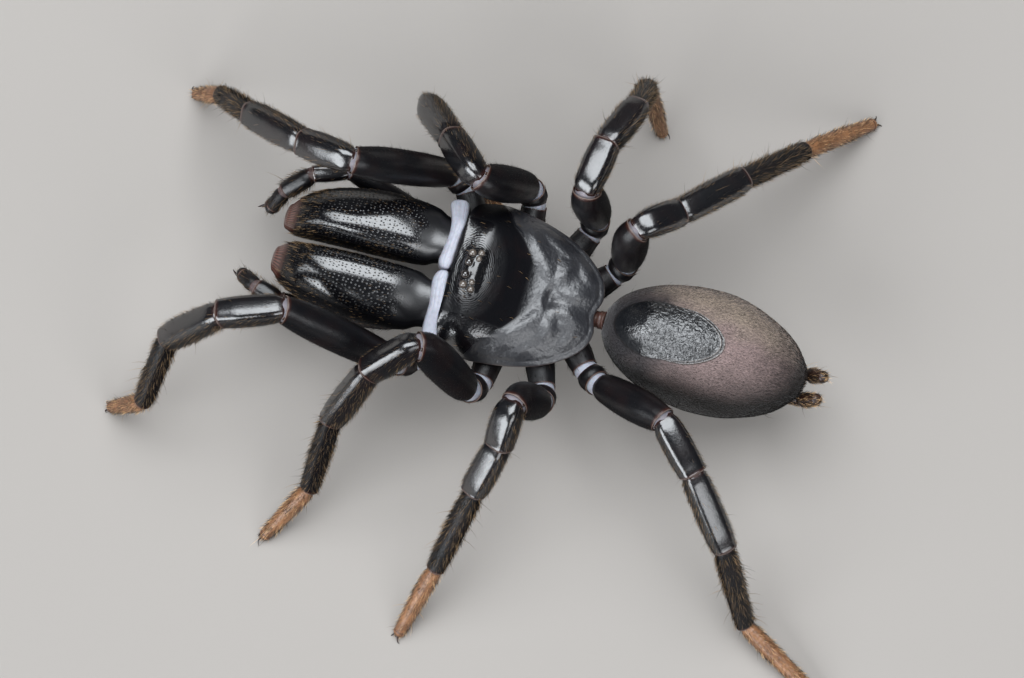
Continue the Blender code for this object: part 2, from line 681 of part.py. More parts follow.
def build_palp(side, materials, collection):
    """Coxa with its mouth lobe, femur, patella with tibia, and tarsus with its bulb."""
    stretches = rounded_stretches([Vector(p) for p in PALP_JOINTS[side]], PALP_BEND_RADIUS)
    sides = carry_sides(stretches)
    pieces = (
        ("coxa", (0, 1), ("palp_coxa", "palp_trochanter")),
        ("femur", (2,), ("palp_femur",)),
        ("tibia", (3, 4), ("palp_patella", "palp_tibia")),
        ("tarsus", (5,), ("palp_tarsus",)),
    )
    chitin = materials["leg_chitin"]
    for piece, picked, kinds in pieces:
        last = piece == "tarsus"
        rings = limb_piece([stretches[i] for i in picked], [sides[i] for i in picked], kinds, cut_end=not last)
        point, way, _, _ = stretches[picked[-1]][-1]
        tip = point + way * PALP_TIP if last else None
        made = to_object(f"palp_{side}_{piece}", skin_rings(rings, end_pole=tip), chitin, collection)
        if last:
            bulb = bpy.data.collections.new(f"bulb_{side}")
            mesh = bmesh.new()
            bmesh.ops.create_uvsphere(mesh, u_segments=14, v_segments=9, radius=BULB_RADIUS)
            ahead, inward, down = BULB_SHIFT
            shift = Vector((ahead, SIGN[side] * inward, down))
            bmesh.ops.translate(mesh, verts=mesh.verts, vec=point - way * BULB_BACK + shift)
            to_object(f"bulb_{side}", mesh, materials["fang_chitin"], bulb)
            join_into(made, bulb)


def abdomen_top(x, y):
    """Height of the abdomen's upper face."""
    half_width, top, bottom = read_stations(ABDOMEN_STATIONS, x - ABDOMEN_FRONT)
    share = min(0.98, abs(y) / half_width)
    return (top + bottom) / 2 + (top - bottom) / 2 * math.sqrt(1 - share * share)


def build_abdomen(materials, collection):
    rings = []
    for along in ABDOMEN_RINGS:
        half_width, top, bottom = read_stations(ABDOMEN_STATIONS, along)
        centre = Vector((ABDOMEN_FRONT + along, 0, (top + bottom) / 2))
        half_height = (top - bottom) / 2
        rings.append(oval(centre, Vector((0, 1, 0)), Vector((0, 0, 1)), half_width, half_height, ABDOMEN_SIDES))
    end = Vector((ABDOMEN_FRONT + ABDOMEN_END[0], 0, ABDOMEN_END[1]))
    to_object("abdomen", skin_rings(rings, end_pole=end), materials["abdomen_skin"], collection)


def scutum_edge(angle):
    """The scutum's outline: round in front, slightly waisted, and narrower behind."""
    x = math.cos(angle)
    waist = 1 - 0.10 * math.exp(-((x - 0.05) / 0.30) ** 2) - 0.10 * smooth_step(0.1, 1.0, x)
    return Vector((
        SCUTUM_CENTRE[0] + SCUTUM_HALF[0] * x,
        SCUTUM_CENTRE[1] + SCUTUM_HALF[1] * waist * math.sin(angle),
    ))


def build_scutum(materials, collection):
    middle = Vector(SCUTUM_CENTRE)
    under, over = [], []
    for share in SCUTUM_RINGS:
        low_ring, high_ring = [], []
        for i in range(SCUTUM_SIDES):
            place = middle + (scutum_edge(math.tau * i / SCUTUM_SIDES) - middle) * share
            ground = abdomen_top(*place) + CUT
            low_ring.append(Vector((*place, ground)))
            high_ring.append(Vector((*place, ground + SCUTUM_THICKNESS * (1 - share ** 6 * 0.7))))
        under.append(low_ring)
        over.append(high_ring)
    ground = abdomen_top(*middle) + CUT
    rings = under + over[::-1]
    mesh = skin_rings(
        rings, start_pole=Vector((*middle, ground)), end_pole=Vector((*middle, ground + SCUTUM_THICKNESS))
    )
    to_object("scutum", mesh, materials["scutum_chitin"], collection)


def build_pedicel(materials, collection):
    front, rear = (Vector((x, 0, z)) for x, z in PEDICEL_ENDS)
    rings = []
    for share in (0.0, 0.3, 0.7, 1.0):
        half = PEDICEL_RADIUS * (1 + 0.15 * math.cos(math.tau * share))
        rings.append(oval(front.lerp(rear, share), Vector((0, 1, 0)), Vector((0, 0, 1)), half, half, 14))
    to_object("pedicel", skin_rings(rings), materials["joint_membrane"], collection)


def build_spinnerets(materials, collection):
    for kind, route in SPINNERET_JOINTS.items():
        for side in SIDES:
            joints = [Vector((x, y * SIGN[side], z)) for x, y, z in route]
            stretches = rounded_stretches(joints, SPINNERET_BEND_RADIUS, inner=2)
            rings = limb_piece(stretches, carry_sides(stretches), (kind, kind), False, False)
            point, way, _, _ = stretches[-1][-1]
            mesh = skin_rings(rings, end_pole=point + way * SPINNERET_TIP)
            to_object(f"{kind}_{side}", mesh, materials["abdomen_skin"], collection)


def finish(collection):
    """Turns millimetres into metres and puts the origin under the middle of the whole, on the ground."""
    corners = [vert.co for item in collection.objects for vert in item.data.vertices]
    low = [min(c[axis] for c in corners) for axis in range(3)]
    high = [max(c[axis] for c in corners) for axis in range(3)]
    to_middle = Matrix.Translation((-(low[0] + high[0]) / 2, -(low[1] + high[1]) / 2, -low[2]))
    for item in collection.objects:
        item.data.transform(Matrix.Scale(MILLIMETRE, 4) @ to_middle)
        item.data.shade_smooth()
        item.data.set_sharp_from_angle(angle=math.radians(40))
        item.data.update()


def main():
    clear_scene()
    collection = bpy.data.collections.new("purseweb_spider")
    bpy.context.scene.collection.children.link(collection)
    materials = make_materials()
    build_carapace(materials, collection)
    build_eyes(materials, collection)
    build_sternum(materials, collection)
    build_pedicel(materials, collection)
    build_abdomen(materials, collection)
    build_scutum(materials, collection)
    build_spinnerets(materials, collection)
    build_cheliceral_membrane(materials, collection)
    for side in SIDES:
        build_chelicera(side, materials, collection)
        build_fang(side, materials, collection)
        build_palp(side, materials, collection)
        for number in LEG_LENGTHS:
            build_leg(side, number, materials, collection)
    finish(collection)


main()
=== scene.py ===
"""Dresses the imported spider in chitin, soft skin, eyes and bristles, and sets it on a plain studio stage.

Sizes are in millimetres in the spider's own frame: head towards -X, right side towards +Y, ground at Z = 0.
Each piece is a set of closed shells, which are grids of rows round an axis. Bristles grow by Geometry Nodes.
"""
import math

import bpy
import numpy as np
from mathutils import Matrix, Vector


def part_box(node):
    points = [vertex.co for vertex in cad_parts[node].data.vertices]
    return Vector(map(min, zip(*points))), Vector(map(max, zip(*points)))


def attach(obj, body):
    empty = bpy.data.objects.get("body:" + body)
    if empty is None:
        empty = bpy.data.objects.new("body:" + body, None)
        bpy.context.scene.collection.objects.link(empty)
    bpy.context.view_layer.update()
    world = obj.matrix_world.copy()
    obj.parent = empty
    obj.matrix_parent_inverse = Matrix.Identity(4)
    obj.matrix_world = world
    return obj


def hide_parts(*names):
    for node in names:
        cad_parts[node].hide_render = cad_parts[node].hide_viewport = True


bl_info = {
    "name": "Purseweb Spider",
    "version": (1, 0, 0),
    "blender": (4, 5, 0),
    "location": "3D View > Sidebar > Spider",
    "description": "Chitin, soft skin, eyes and bristles for the solid model of a purseweb spider",
    "category": "Object",
}

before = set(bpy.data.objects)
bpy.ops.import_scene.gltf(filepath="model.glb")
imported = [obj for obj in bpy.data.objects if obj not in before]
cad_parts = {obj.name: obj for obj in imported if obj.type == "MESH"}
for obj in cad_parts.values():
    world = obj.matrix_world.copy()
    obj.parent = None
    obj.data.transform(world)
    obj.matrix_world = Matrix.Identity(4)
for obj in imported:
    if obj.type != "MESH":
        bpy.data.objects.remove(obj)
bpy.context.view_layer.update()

MM = 0.001
SIDES = ("right", "left")
SIGN = {"right": 1.0, "left": -1.0}

# Sizes of the solid model, repeated
CUT = 0.05
# Lengths of trochanter, femur, patella, tibia, metatarsus and tarsus
LEG_LENGTHS = {
    1: (0.50, 3.45, 1.45, 1.85, 1.90, 1.40),
    2: (0.50, 2.60, 1.50, 1.75, 2.05, 1.65),
    3: (0.50, 2.10, 1.25, 1.40, 2.30, 1.90),
    4: (0.50, 2.20, 1.40, 2.05, 2.40, 2.45),
}
COXA_HEIGHT = 2.10
# Where each coxa ends, and the place on the middle line that it points away from
COXA_ENDS = {1: (-2.00, 2.10), 2: (-0.40, 2.20), 3: (1.03, 1.93), 4: (1.84, 1.18)}
COXA_AIMS = {1: -0.75, 2: -0.28, 3: 0.22, 4: 0.80}
# Turn outwards from straight ahead and rise, in degrees, of femur, patella, tibia, metatarsus and tarsus
POSE = {
    ("right", 1): ((-22, 45), (11, -30), (20, -36), (33, -58), (12, -62)),
    ("right", 2): ((-30, 59), (46, -30), (48, -46), (28, -130), (35, -143)),
    ("right", 3): ((4, 77), (97, -2), (110, -25), (96, -64), (40, -117)),
    ("right", 4): ((66, 81), (138, -30), (131, -25), (131, -38), (134, -36)),
    ("left", 1): ((-1, 36), (20, -12), (32, -48), (83, -44), (8, -59)),
    ("left", 2): ((-15, 57), (43, -33), (65, -45), (88, -46), (60, -35)),
    ("left", 3): ((34, 69), (90, -37), (77, -39), (79, -40), (76, -37)),
    ("left", 4): ((160, 38), (137, -14), (134, -31), (129, -46), (153, -9)),
}
# Half width and half depth of each segment
THICKNESS = {
    "coxa": (0.34, 0.36),
    "trochanter": (0.34, 0.34),
    "femur": (0.39, 0.43),
    "patella": (0.34, 0.35),
    "tibia": (0.32, 0.33),
    "metatarsus": (0.25, 0.25),
    "tarsus": (0.20, 0.20),
    "palp_coxa": (0.26, 0.28),
    "palp_trochanter": (0.22, 0.22),
    "palp_femur": (0.23, 0.26),
    "palp_patella": (0.21, 0.21),
    "palp_tibia": (0.22, 0.23),
    "palp_tarsus": (0.19, 0.18),
    "spinneret": (0.17, 0.17),
    "small_spinneret": (0.10, 0.10),
}
# Factor on both from a segment's root, 0, to its end, 1
TAPER = {
    "coxa": ((0.0, 0.86), (0.5, 1.0), (1.0, 0.84)),
    "trochanter": ((0.0, 0.88), (0.5, 1.0), (1.0, 0.86)),
    "femur": ((0.0, 0.68), (0.12, 0.86), (0.4, 1.0), (0.75, 1.0), (1.0, 0.80)),
    "patella": ((0.0, 0.86), (0.25, 0.98), (0.7, 1.02), (1.0, 0.93)),
    "tibia": ((0.0, 0.88), (0.2, 0.98), (0.8, 1.0), (1.0, 0.86)),
    "metatarsus": ((0.0, 0.92), (0.2, 1.0), (0.8, 0.94), (1.0, 0.84)),
    "tarsus": ((0.0, 0.88), (0.2, 1.0), (0.7, 0.88), (1.0, 0.70)),
}
LEG_SEGMENTS = ("coxa", "trochanter", "femur", "patella", "tibia", "metatarsus", "tarsus")
PALP_SEGMENTS = ("palp_coxa", "palp_trochanter", "palp_femur", "palp_patella", "palp_tibia", "palp_tarsus")
for segment in LEG_SEGMENTS:
    TAPER[f"palp_{segment}"] = TAPER[segment]
for segment in ("spinneret", "small_spinneret"):
    TAPER[segment] = TAPER["tarsus"]
BEND_RADIUS = 0.34
PINCH = 0.86
FOOT_HEIGHT = 0.10
FOOT_RADIUS = 0.15
PALP_JOINTS = {
    "right": (
        (-1.52, 0.56, 1.64), (-2.35, 1.02, 1.56), (-2.62, 1.28, 1.58), (-4.72, 1.66, 2.20),
        (-5.52, 1.36, 2.12), (-6.04, 0.86, 1.72), (-6.24, 0.46, 1.36),
    ),
    "left": (
        (-1.52, -0.56, 1.64), (-2.35, -1.02, 1.56), (-2.62, -1.28, 1.50), (-4.62, -1.56, 1.30),
        (-5.42, -1.62, 1.62), (-6.02, -1.48, 1.60), (-6.42, -1.22, 1.34),
    ),
}
PALP_BEND_RADIUS = 0.22
PALP_TIP = 0.10
BULB_RADIUS = 0.20
BULB_BACK = 0.16
BULB_SHIFT = (-0.04, -0.04, -0.16)
CARAPACE_OUTLINE = (
    (-1.83, 0.00), (-1.81, 0.55), (-1.79, 1.10), (-1.70, 1.50), (-1.42, 1.77), (-0.95, 1.86), (-0.35, 1.80),
    (0.25, 1.68), (0.80, 1.48), (1.28, 1.18), (1.62, 0.82), (1.74, 0.42), (1.64, 0.00),
)
CARAPACE_MIDDLE = (-0.30, 0.0)
CARAPACE_UNDERSIDE = 2.55
CARAPACE_RIM = 2.66
CAPUT_RISE = 0.86
THORAX_RISE = 0.46
FOVEA = (0.64, 0.0)
FOVEA_DEPTH = 0.10
FURROW_START = (-0.75, 1.50)
FURROW_HALF_WIDTH = 0.16
CAPUT_REAR_HALF = 0.22
EYE_MOUND = (-1.34, 0.0)
EYE_MOUND_RISE = 0.12
CROWN_DROP = 0.53
CROWN_SPAN = (-1.40, 0.50)
CROWN_ROUNDING = 0.18
CLYPEUS_RISE = 0.58
CLYPEUS_SPAN = (-1.30, -1.80)
# Place and radius of each eye
MEDIAN_EYE = (-1.46, 0.15, 0.085)
SIDE_EYES = ((-1.44, 0.385, 0.085), (-1.24, 0.44, 0.075), (-1.26, 0.285, 0.065))
EYE_FULLNESS = 1.12
# Swellings of the thorax: place, turn of the long axis in degrees, half length, half width and height
THORAX_LOBES = (
    (0.00, 0.98, 132, 0.62, 0.19, 0.085), (0.74, 0.74, 72, 0.28, 0.17, 0.075),
    (1.17, 0.27, 25, 0.27, 0.17, 0.055), (0.42, 1.30, 150, 0.45, 0.12, 0.035),
    (1.24, 0.80, 130, 0.30, 0.12, 0.03),
)
# Place along the middle line, half length, half width, and depth or height
FOVEA_PIT = (0.54, 0.09, 0.25, 0.10)
TUBERCLE = (-1.45, 0.14, 0.27, 0.04)
STERNUM_CENTRE = -0.10
STERNUM_HALF = (1.42, 0.74)
STERNUM_HEIGHTS = (1.42, 2.50)
# Along a chelicera: half width, top, underside and distance from the middle line
CHELICERA_STATIONS = (
    (0.00, 0.58, 2.98, 2.02, 0.78),
    (0.22, 0.68, 3.12, 1.94, 0.79),
    (0.70, 0.74, 3.26, 1.82, 0.81),
    (1.45, 0.75, 3.36, 1.72, 0.81),
    (2.20, 0.70, 3.36, 1.62, 0.77),
    (2.85, 0.60, 3.20, 1.55, 0.69),
    (3.30, 0.46, 2.86, 1.54, 0.59),
    (3.55, 0.28, 2.44, 1.66, 0.52),
)
CHELICERA_ROOT_X = -2.22
CHELICERA_DRIFT = (-0.10, -0.27)
CHELICERA_DOME = 0.10
CHELICERA_RIDGE_SHIFT = 0.30
CHELICERA_ROOT = ((-0.48, 0.50, 3.04, 2.14, 0.77), (0.00, 0.57, 3.09, 2.02, 0.78))
FANG_START = 3.30
FANG_LENGTH = 2.55
FANG_HEIGHT = 1.28
FANG_SAG = 0.16
FANG_LIFT = 0.06
FANG_SPLAY = 0.10
FANG_RADIUS = 0.20
FANG_TIP_RADIUS = 0.03
FOLD_HEIGHTS = (2.64, 3.18)
# Places across the body, with the front and rear edges of the pale fold at each
FOLD_EDGES = {
    "right": (
        (-0.07, -2.02, -1.88), (-0.03, -2.09, -1.84), (0.10, -2.15, -1.81), (0.30, -2.135, -1.81),
        (0.67, -2.10, -1.81), (0.99, -2.11, -1.79), (1.25, -2.18, -1.78), (1.44, -2.25, -1.80),
        (1.56, -2.23, -1.84), (1.62, -2.12, -1.92),
    ),
    "left": (
        (-0.10, -1.99, -1.88), (-0.14, -2.07, -1.84), (-0.27, -2.14, -1.80), (-0.45, -2.15, -1.79),
        (-0.92, -2.07, -1.72), (-1.32, -2.06, -1.66), (-1.55, -2.04, -1.66), (-1.68, -1.97, -1.70),
        (-1.74, -1.88, -1.78),
    ),
}
PEDICEL_ENDS = ((1.38, 2.20), (1.86, 2.40))
PEDICEL_RADIUS = 0.20
ABDOMEN_FRONT = 1.92
# Along the abdomen: half width, top and underside
ABDOMEN_STATIONS = (
    (0.00, 0.30, 2.72, 2.18),
    (0.25, 0.66, 3.06, 1.84),
    (0.75, 1.03, 3.36, 1.50),
    (1.50, 1.32, 3.58, 1.24),
    (2.40, 1.43, 3.66, 1.12),
    (3.20, 1.36, 3.58, 1.18),
    (3.90, 1.10, 3.34, 1.40),
    (4.40, 0.78, 3.04, 1.66),
    (4.75, 0.38, 2.66, 2.00),
)
ABDOMEN_END = (4.83, 2.33)
SCUTUM_CENTRE = (3.42, -0.03)
SCUTUM_HALF = (1.30, 0.72)
# Place from the scutum's centre, radius and height
SCUTUM_BULGE = (-0.60, 0.12, 0.34, 0.12)
SPINNERET_JOINTS = {
    "spinneret": ((6.46, 0.27, 1.66), (6.80, 0.31, 1.78), (7.12, 0.28, 2.20)),
    "small_spinneret": ((6.22, 0.10, 1.44), (6.44, 0.11, 1.38), (6.60, 0.11, 1.42)),
}
SPINNERET_BEND_RADIUS = 0.20

# The photo's view: where its middle looks, how far off, its roll, its tilt and its scale
VIEW_TARGET = (0.0, -1.12, 2.8)
VIEW_DISTANCE = 170.0
VIEW_ROLL = 17.0
VIEW_TILT = 11.0
PHOTO_WIDTH = 1024
PIXEL = 0.023
SENSOR = 36.0

# Half of the floor's side in metres, and the air's faint light
FLOOR_HALF = 1.5
AIR_COLOUR = (0.75, 0.80, 0.88, 1.0)
AIR_STRENGTH = 0.07
# Each softbox's direction from the spider, distance, width and height, power in watts and colour
SOFTBOXES = (
    ("overhead_softbox", (-0.14, 0.28, 0.95), 350, (370, 310), 1.95, (0.92, 0.96, 1.0)),
    ("front_low_softbox", (-0.48, -0.74, 0.46), 300, (300, 180), 1.0, (0.92, 0.96, 1.0)),
    ("rear_low_softbox", (0.62, -0.50, 0.60), 300, (200, 150), 0.32, (0.95, 0.97, 1.0)),
)

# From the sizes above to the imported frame, found at the right middle eye
eye_low, eye_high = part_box("eye_median_right")
SHIFT = np.array([
    (eye_low.x + eye_high.x) / 2 / MM - MEDIAN_EYE[0],
    (eye_low.y + eye_high.y) / 2 / MM - MEDIAN_EYE[1],
    0.0,
])

# Looks of each segment: gloss, short bristles in a square millimetre, their length, long bristles in the same,
# how far all of them stand up in radians, and their colour
SEGMENT_LOOKS = {
    "coxa": (0.3, 70, 0.15, 0.0, 0.5, "bristle_dark"),
    "trochanter": (0.5, 60, 0.14, 0.0, 0.5, "bristle_dark"),
    "femur": (0.6, 220, 0.09, 1.5, 0.60, "bristle_dark"),
    "patella": (1.0, 300, 0.11, 2.0, 0.70, "bristle_gold"),
    "tibia": (0.9, 420, 0.13, 4.0, 0.70, "bristle_gold"),
    "metatarsus": (0.25, 560, 0.16, 7.0, 0.75, "bristle_gold"),
    "tarsus": (0.2, 460, 0.14, 5.0, 0.6, "bristle_pale"),
    "palp_coxa": (0.4, 60, 0.14, 0.0, 0.5, "bristle_dark"),
    "palp_trochanter": (0.4, 50, 0.12, 0.0, 0.5, "bristle_dark"),
    "palp_femur": (0.5, 150, 0.14, 1.0, 0.6, "bristle_dark"),
    "palp_patella": (1.0, 90, 0.13, 1.0, 0.6, "bristle_gold"),
    "palp_tibia": (0.7, 260, 0.18, 4.0, 0.7, "bristle_gold"),
    "palp_tarsus": (0.4, 300, 0.16, 3.0, 0.7, "bristle_gold"),
    "spinneret": (0.1, 800, 0.17, 10.0, 0.35, "bristle_pale"),
    "small_spinneret": (0.1, 300, 0.08, 0.0, 0.4, "bristle_pale"),
}
# Half of the bare gap on the upper side of each joint, from coxa and trochanter to metatarsus and tarsus
JOINT_GAPS = (0.085, 0.085, 0.0, -0.004, 0.0, 0.0)
JOINT_PALENESS = (1.0, 1.0, 0.4, 0.05, 0.1, 0.1)
PALP_GAPS = (0.04, 0.04, 0.02, 0.015, 0.015)
PALP_SEEDS = {"right": 205, "left": 204}
# Columns round a limb, rows of a sleeve and steps round a bend
LIMB_COLUMNS = 48
SLEEVE_ROWS = 9
BEND_STEPS = 12
# The most of a run that a bend takes, and the distance between the places on a middle line
BEND_SHARE = 0.40
LINE_STEP = 0.02
# How flat the tops of the glossy segments are
FLATNESS = 0.36
# Rows at the carapace's edge, which stay bare of bristles
CARAPACE_EDGE_ROWS = 8

# A chelicera's girth and length, as its unwrap spreads them, and the near-black of its pits, partly their own
# dark and partly painted shade in the hollows
JAW_GIRTH = 4.6
JAW_LENGTH = 3.7
PIT_SOCKET_AND_SHADE = (0.001, 0.001, 0.001)
# How strongly chitin bends light
CHITIN_IOR = 1.62
SHADER = "Principled BSDF"
# Sockets of the Mix node for colours, which share their names with those for numbers
MIX_FACTOR, MIX_UNDER, MIX_OVER, MIX_RESULT = 0, 6, 7, 2
# What the long bristles read from a skin, and what a finished coat no longer needs
LONG_BRISTLES = {"Density_From": "long_density", "Length_From": "long_length"}
GROWTH_VALUES = (
    "root_place", "patch", "lie", "bristle_density", "bristle_length", "long_density", "long_length", "stand",
)


def to_linear(code):
    channels = []
    for start in (1, 3, 5):
        value = int(code[start:start + 2], 16) / 255
        channels.append(value / 12.92 if value <= 0.04045 else ((value + 0.055) / 1.055) ** 2.4)
    return tuple(channels)


def colour_property(name, code, description):
    return bpy.props.FloatVectorProperty(
        name=name, description=description, default=to_linear(code), subtype="COLOR", size=3, min=0.0, max=1.0
    )


def length_property(name, value, description):
    return bpy.props.FloatProperty(
        name=name, description=description, default=value * MM, unit="LENGTH", precision=6, min=0.0
    )


class SpiderColours(bpy.types.PropertyGroup):
    chitin: colour_property("Chitin", "#0B0B0E", "Black of the legs, jaws and head")
    # The thorax's dark grey is partly its own tone and partly painted satin sheen.
    thorax: colour_property("Thorax", "#1E1F24", "Leathery dark grey behind the head")
    joint_brown: colour_property("Joint brown", "#3A1C14", "Red-brown at the hinges and edges of the chitin")
    jaw_tip: colour_property("Jaw tip", "#5E4039", "Pink-brown of the ribbed tips of the jaws")
    # The rim colour also paints the highlight ring on the eyes.
    rim: colour_property("Rim", "#7C6E66", "Thin pale lip round the end of a leg segment")
    tarsus: colour_property("Tarsus", "#8F6340", "Orange-brown of the feet")
    membrane: colour_property("Membrane", "#A9ABB6", "Pale lavender of the soft joint skin")
    pleura: colour_property("Pleura", "#4A342E", "Pink-brown soft skin between the plates")
    abdomen_upper: colour_property("Abdomen, upper", "#84706D", "Mauve of the abdomen's back")
    # The tan is partly the skin's own tone and partly painted light on the lit right edge.
    abdomen_tan_and_light: colour_property("Abdomen, right side", "#8C7F6E", "Tan along the upper edge of the abdomen")
    # The lower colour is the belly's own dark, and on the abdomen's lower flanks it also serves as painted
    # shade.
    abdomen_lower: colour_property("Abdomen, lower", "#17120F", "Near-black brown of the abdomen's underside")
    abdomen_front: colour_property("Abdomen, front", "#171317", "Dark skin round the front of the scutum")
    scutum: colour_property("Scutum", "#101114", "Black of the plate on the abdomen")
    eye_dark: colour_property("Dark eye", "#1A1512", "Dark brown of the middle pair of eyes")
    eye_pearl: colour_property("Pale eye", "#62584F", "Pearly grey-brown of the outer eyes")
    sternum: colour_property("Sternum", "#4C3428", "Brown plate between the legs' roots")
    bristle_dark: colour_property("Dark bristle", "#2A211A", "Bristles of femora and coxae")
    bristle_gold: colour_property("Golden bristle", "#67533C", "Bristles of knees, tibiae and jaws")
    bristle_pale: colour_property("Pale bristle", "#A98A66", "Bristles of the feet")
    velvet: colour_property("Velvet", "#8A7D75", "Short hairs of the abdomen")
    floor: colour_property("Floor", "#9B9691", "Plain floor of the stage")


class SpiderSizes(bpy.types.PropertyGroup):
    pit_spacing: length_property("Pit spacing", 0.074, "Distance between the pits on the jaws")
    grain: length_property("Grain", 0.045, "Size of the fine grain of the chitin")
    wrinkle: length_property("Wrinkle", 0.050, "Distance between the wrinkles round the eyes")
    bristle_share: bpy.props.FloatProperty(
        name="Bristle thickness", description="Radius of a bristle as a share of its length", default=0.034,
        min=0.005
    )
    bristle_amount: bpy.props.FloatProperty(
        name="Bristle amount", description="Factor on the number of bristles", default=1.0, min=0.0
    )


def smooth_step(low, high, value):
    share = np.clip((value - low) / (high - low), 0.0, 1.0)
    return share * share * (3 - 2 * share)


def smooth_through(stations, along):
    """Values along a row of stations, on smooth curves through them, one array for each value."""
    table = np.array(stations, float)
    places, values = table[:, 0], table[:, 1:]
    along = np.asarray(np.clip(along, places[0], places[-1]))
    last = len(places) - 1
    index = np.clip(np.searchsorted(places, along, side="right") - 1, 0, last - 1)
    nearby = [np.clip(index + step, 0, last) for step in (-1, 0, 1, 2)]
    before, start, end, after = (values[near] for near in nearby)
    far_back, back, ahead, far_ahead = (places[near][..., None] for near in nearby)
    run = ahead - back
    share = (along[..., None] - back) / run
    slope_in = (end - before) / (ahead - far_back) * run
    slope_out = (after - start) / (far_ahead - back) * run
    cube = 2 * start - 2 * end + slope_in + slope_out
    square = 3 * (end - start) - 2 * slope_in - slope_out
    return np.moveaxis(((cube * share + square) * share + slope_in) * share + start, -1, 0)


def ripple(points, size, seed):
    """Soft irregular waves of about the given size, between about -1 and 1."""
    draw = np.random.default_rng(seed)
    total = np.zeros(points.shape[:-1])
    for _ in range(8):
        way = draw.normal(size=3)
        way *= math.tau / (np.linalg.norm(way) * size * draw.uniform(0.6, 1.5))
        total += np.sin(points @ way + draw.uniform(0, math.tau))
    return total / 4


class Shells:
    """Closed shells gathered into one mesh, with named values at their points and an unwrap of their own."""

    def __init__(self):
        self.points, self.faces, self.unwrap, self.values = [], [], [], []
        self.count = 0

    def add(self, rows, start=None, end=None, area=(0.0, 0.0, 1.0, 1.0), **values):
        """One shell over a grid of rows, closed at both ends by a pole. Its bristles lie from row to row."""
        rows = np.asarray(rows, float)
        tall, wide = rows.shape[:2]
        start = rows[0].mean(0) if start is None else np.array(start, float)
        end = rows[-1].mean(0) if end is None else np.array(end, float)
        grid = np.arange(tall * wide).reshape(tall, wide)
        after = np.roll(grid, -1, axis=1)
        poles = np.full(wide, tall * wide)
        faces = np.stack([grid[:-1], after[:-1], after[1:], grid[1:]], -1).reshape(-1, 4).tolist()
        faces += np.stack([after[0], grid[0], poles], -1).tolist()
        faces += np.stack([grid[-1], after[-1], poles + 1], -1).tolist()

        left, bottom, right, top = area
        across = left + (right - left) * np.arange(wide + 1) / wide
        up = bottom + (top - bottom) * (0.02 + 0.96 * np.arange(tall) / (tall - 1))
        places = np.stack(np.broadcast_arrays(across[None, :], up[:, None]), -1)
        corners = np.stack([places[:-1, :-1], places[:-1, 1:], places[1:, 1:], places[1:, :-1]], -2)
        middle = (across[:-1] + across[1:]) / 2
        first = np.stack([places[0, 1:], places[0, :-1], np.stack([middle, np.full(wide, bottom)], -1)], 1)
        final = np.stack([places[-1, :-1], places[-1, 1:], np.stack([middle, np.full(wide, top)], -1)], 1)
        unwrap = [*corners.reshape(-1, 4, 2), *first, *final]

        points = np.concatenate([rows.reshape(-1, 3), [start, end]])
        origin = points.mean(0)
        a, b, c = (points[[face[k] for face in faces]] - origin for k in (0, 1, 2))
        if np.einsum("ij,ij->i", a, np.cross(b, c)).sum() < 0:
            faces = [face[::-1] for face in faces]
            unwrap = [place[::-1] for place in unwrap]

        lie = np.gradient(rows, axis=0)
        lie /= np.maximum(np.linalg.norm(lie, axis=-1, keepdims=True), 1e-9)
        named = {"lie": lie, **values}
        for name, value in named.items():
            value = np.broadcast_to(value, rows.shape if np.ndim(value) in (1, 3) else rows.shape[:2])
            at_poles = [value[row].reshape(wide, -1).mean(0) for row in (0, -1)]
            both = np.concatenate([value.reshape(tall * wide, -1), at_poles])
            self.values.append((name, self.count, both))
        self.points.append(points)
        self.faces += [[corner + self.count for corner in face] for face in faces]
        self.unwrap += unwrap
        self.count += len(points)

    def finish(self, name, material, slot, *nodes):
        """Makes one piece of all shells, and dresses the model with it."""
        points = (np.concatenate(self.points) + SHIFT) * MM
        data = bpy.data.meshes.new(name)
        data.from_pydata(points.tolist(), [], self.faces)
        layer = data.uv_layers.new(name="OFBake")
        layer.data.foreach_set("uv", np.concatenate([np.ravel(place) for place in self.unwrap]))
        for label in sorted({label for label, _, _ in self.values}):
            blocks = [(begin, block) for known, begin, block in self.values if known == label]
            width = blocks[0][1].shape[1]
            full = np.zeros((self.count, width))
            for begin, block in blocks:
                full[begin:begin + len(block)] = block
            kind, field = ("FLOAT", "value") if width == 1 else ("FLOAT_VECTOR", "vector")
            data.attributes.new(label, kind, "POINT").data.foreach_set(field, full.ravel())
        data.materials.append(material)
        data.shade_smooth()
        piece = bpy.data.objects.new(name, data)
        bpy.context.scene.collection.objects.link(piece)
        dress(piece, slot, *nodes)


def dress(piece, slot, *nodes):
    """The piece rides on the model's one body and stands for these nodes."""
    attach(piece, "root")
    if nodes:
        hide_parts(*nodes)


def ball(centre, half, tall, wide):
    """Rows of a rounded lump; half holds its three half sizes."""
    turn = np.linspace(-math.pi / 2, math.pi / 2, tall + 2)[1:-1, None]
    angle = np.linspace(0, math.tau, wide, endpoint=False)[None, :]
    across = np.cos(turn)
    shape = np.stack(np.broadcast_arrays(across * np.cos(angle), across * np.sin(angle), np.sin(turn)), -1)
    return np.array(centre) + shape * np.array(half)


def ball_poles(centre, half):
    lift = np.array([0, 0, half[2]])
    return {"start": np.array(centre) - lift, "end": np.array(centre) + lift}


def soften(values, reach):
    """Each value averaged with its neighbours on both sides."""
    weights = np.hanning(2 * reach + 3)[1:-1]
    padded = np.pad(values, ((reach, reach), (0, 0)), mode="edge")
    return np.stack([np.convolve(column, weights / weights.sum(), mode="valid") for column in padded.T], -1)


